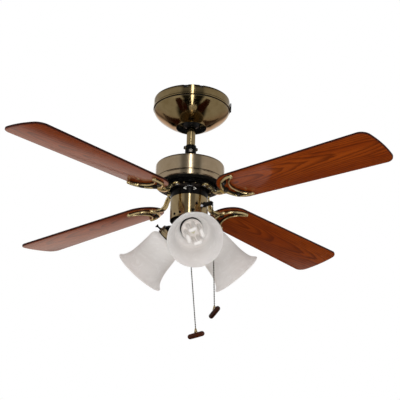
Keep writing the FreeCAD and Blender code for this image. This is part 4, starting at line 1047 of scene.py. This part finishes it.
blade_head = screw_head(4.3, 2.4, 0.95)
iron_head = screw_head(3.9, 2.4, 0.9)
bscr, iscr = Build(), Build()
for i, n_ in enumerate("abcd"):
    A = rot("Z", -41.4 + 90 * i)
    B = A @ mv(0, 0, -252.7) @ rot("Y", 1.19) @ rot("X", -9.78)
    v, f, nn = plate_mesh(out, -BLADE_T / 2, BLADE_T / 2, 1.0, 3)
    blade = new_obj("v_blade_" + n_, [B @ Vector(q) for q in v], f,
                    [cherry("cherry_blade_" + n_, 0.6 + 0.9 * i, 1.0, metres(B)), MAT["edge"], MAT["rim"], cherry("cherry_top_" + n_, 2.0 + 0.7 * i, 0.34, metres(B))], None, 30,
                    [0 if q[2] < -0.97 else 3 if q[2] > 0.97 else (2 if q[2] < -0.25 else 1) for q in nn])
    put(blade, "rotor", "cherry_blade", "blade_" + n_)
    # cast iron: recessed plate, raised rounded outer band and inner rib, neck, arm and flange
    ib = Build()
    v, f, nn = plate_mesh(crescent, -BLADE_T / 2 - 3.0, -BLADE_T / 2 - 0.02, 0.5, 2, holes=[hole_s])
    ib.mesh(v, f, B, 1)
    zc = -BLADE_T / 2 - 3.4
    band = smooth_line(c_outer[1:-1], 4)
    cen = Vector((146.0, -3.0))
    path = []
    for p in band:
        d_ = (cen - Vector(p)).normalized()
        path.append((p[0] + d_.x * 2.5, p[1] + d_.y * 2.5, zc))
    ib.mesh(*sweep_mesh(path, ellipse(2.6, 3.6, 16, 2.2), (0, 0, 1), lambda t: (0.62 + 0.38 * min(1.0, 6 * t, 6 * (1 - t)), 1.0)), B, 0)
    rib = smooth_line(c_inner, 4)
    path = []
    for p in rib:
        d_ = (Vector(p) - Vector((175.0, -3.0))).normalized()
        path.append((p[0] + d_.x * 1.8, p[1] + d_.y * 1.8, zc + 0.2))
    ib.mesh(*sweep_mesh(path, ellipse(1.5, 3.5, 12, 2.2), (0, 0, 1)), B, 0)
    for tip in ((160.2, -43.4), (160.6, 36.9)):   # rounded light tips
        ib.lathe([(0.0, -4.1), (2.4, -3.8), (4.0, -2.4), (4.6, 0.0), (4.4, 3.0), (0.0, 3.2)], 24, B @ mv(tip[0], tip[1], zc), 0)
    for x_, y_ in SCREWS:
        ib.lathe(rnd([(2.0, -4.05), (5.2, -4.05, 0.8), (5.8, -2.4, 0.8), (6.0, 3.3), (2.0, 3.3)]), 32, B @ mv(x_, y_, zc), 1)
    v, f, nn = plate_mesh(neck_o, -BLADE_T / 2 - IRON_T, -BLADE_T / 2 - 0.02, 1.4, 3, lower_only=True)
    ib.mesh(v, f, B, 0)
    ib.mesh(*sweep_mesh(arm_path, ellipse(8.0, 2.45, 20, 3.0), (0, 0, 1), arm_scale), A, 0)
    v, f, nn = plate_mesh(flange_o, base_z - 4.4, base_z - 0.02, 1.0, 3, lower_only=True)
    ib.mesh(v, f, A, 0)
    put(ib.make("v_blade_iron_" + n_, [MAT["iron"], MAT["patina"]], sharp=40), "rotor", "antique_brass", "blade_iron_" + n_)
    for x_, y_ in SCREWS:
        bscr.me(blade_head, B @ mv(x_, y_, -BLADE_T / 2 - IRON_T) @ rot("X", 180) @ rot("Z", 30 * i + x_))
    for t_ in (-8.5, 8.5):
        iscr.me(iron_head, A @ mv(53.0, t_, base_z - 4.4) @ rot("X", 180) @ rot("Z", 25 * i))
put(bscr.make("v_blade_screws", [MAT["zinc"]]), "rotor", "zinc_steel", "blade_screws")
put(iscr.make("v_iron_screws", [MAT["zinc"]]), "rotor", "zinc_steel", "iron_screws")

# ================================================================ finishes on the CAD nodes that stay
STAY = {
    "hanger_bracket": "zinc", "terminal_block": "grey", "hanger_ball": "plastic", "ball_pin": "zinc", "motor_shaft": "bearing",
    "stator_core": "lamination", "stator_windings": "copper", "rotor_top_bell": "black", "motor_bearings": "bearing",
    "fan_switch": "plastic", "reverse_switch": "plastic", "capacitor": "plastic", "light_switch": "plastic", "lamp_sockets": "plastic",
}
for name, o in NODES.items():
    if o.hide_render:
        continue
    m = MAT[STAY[name]]
    if not o.data.materials:
        o.data.materials.append(m)
    for s in o.material_slots:
        s.material = m
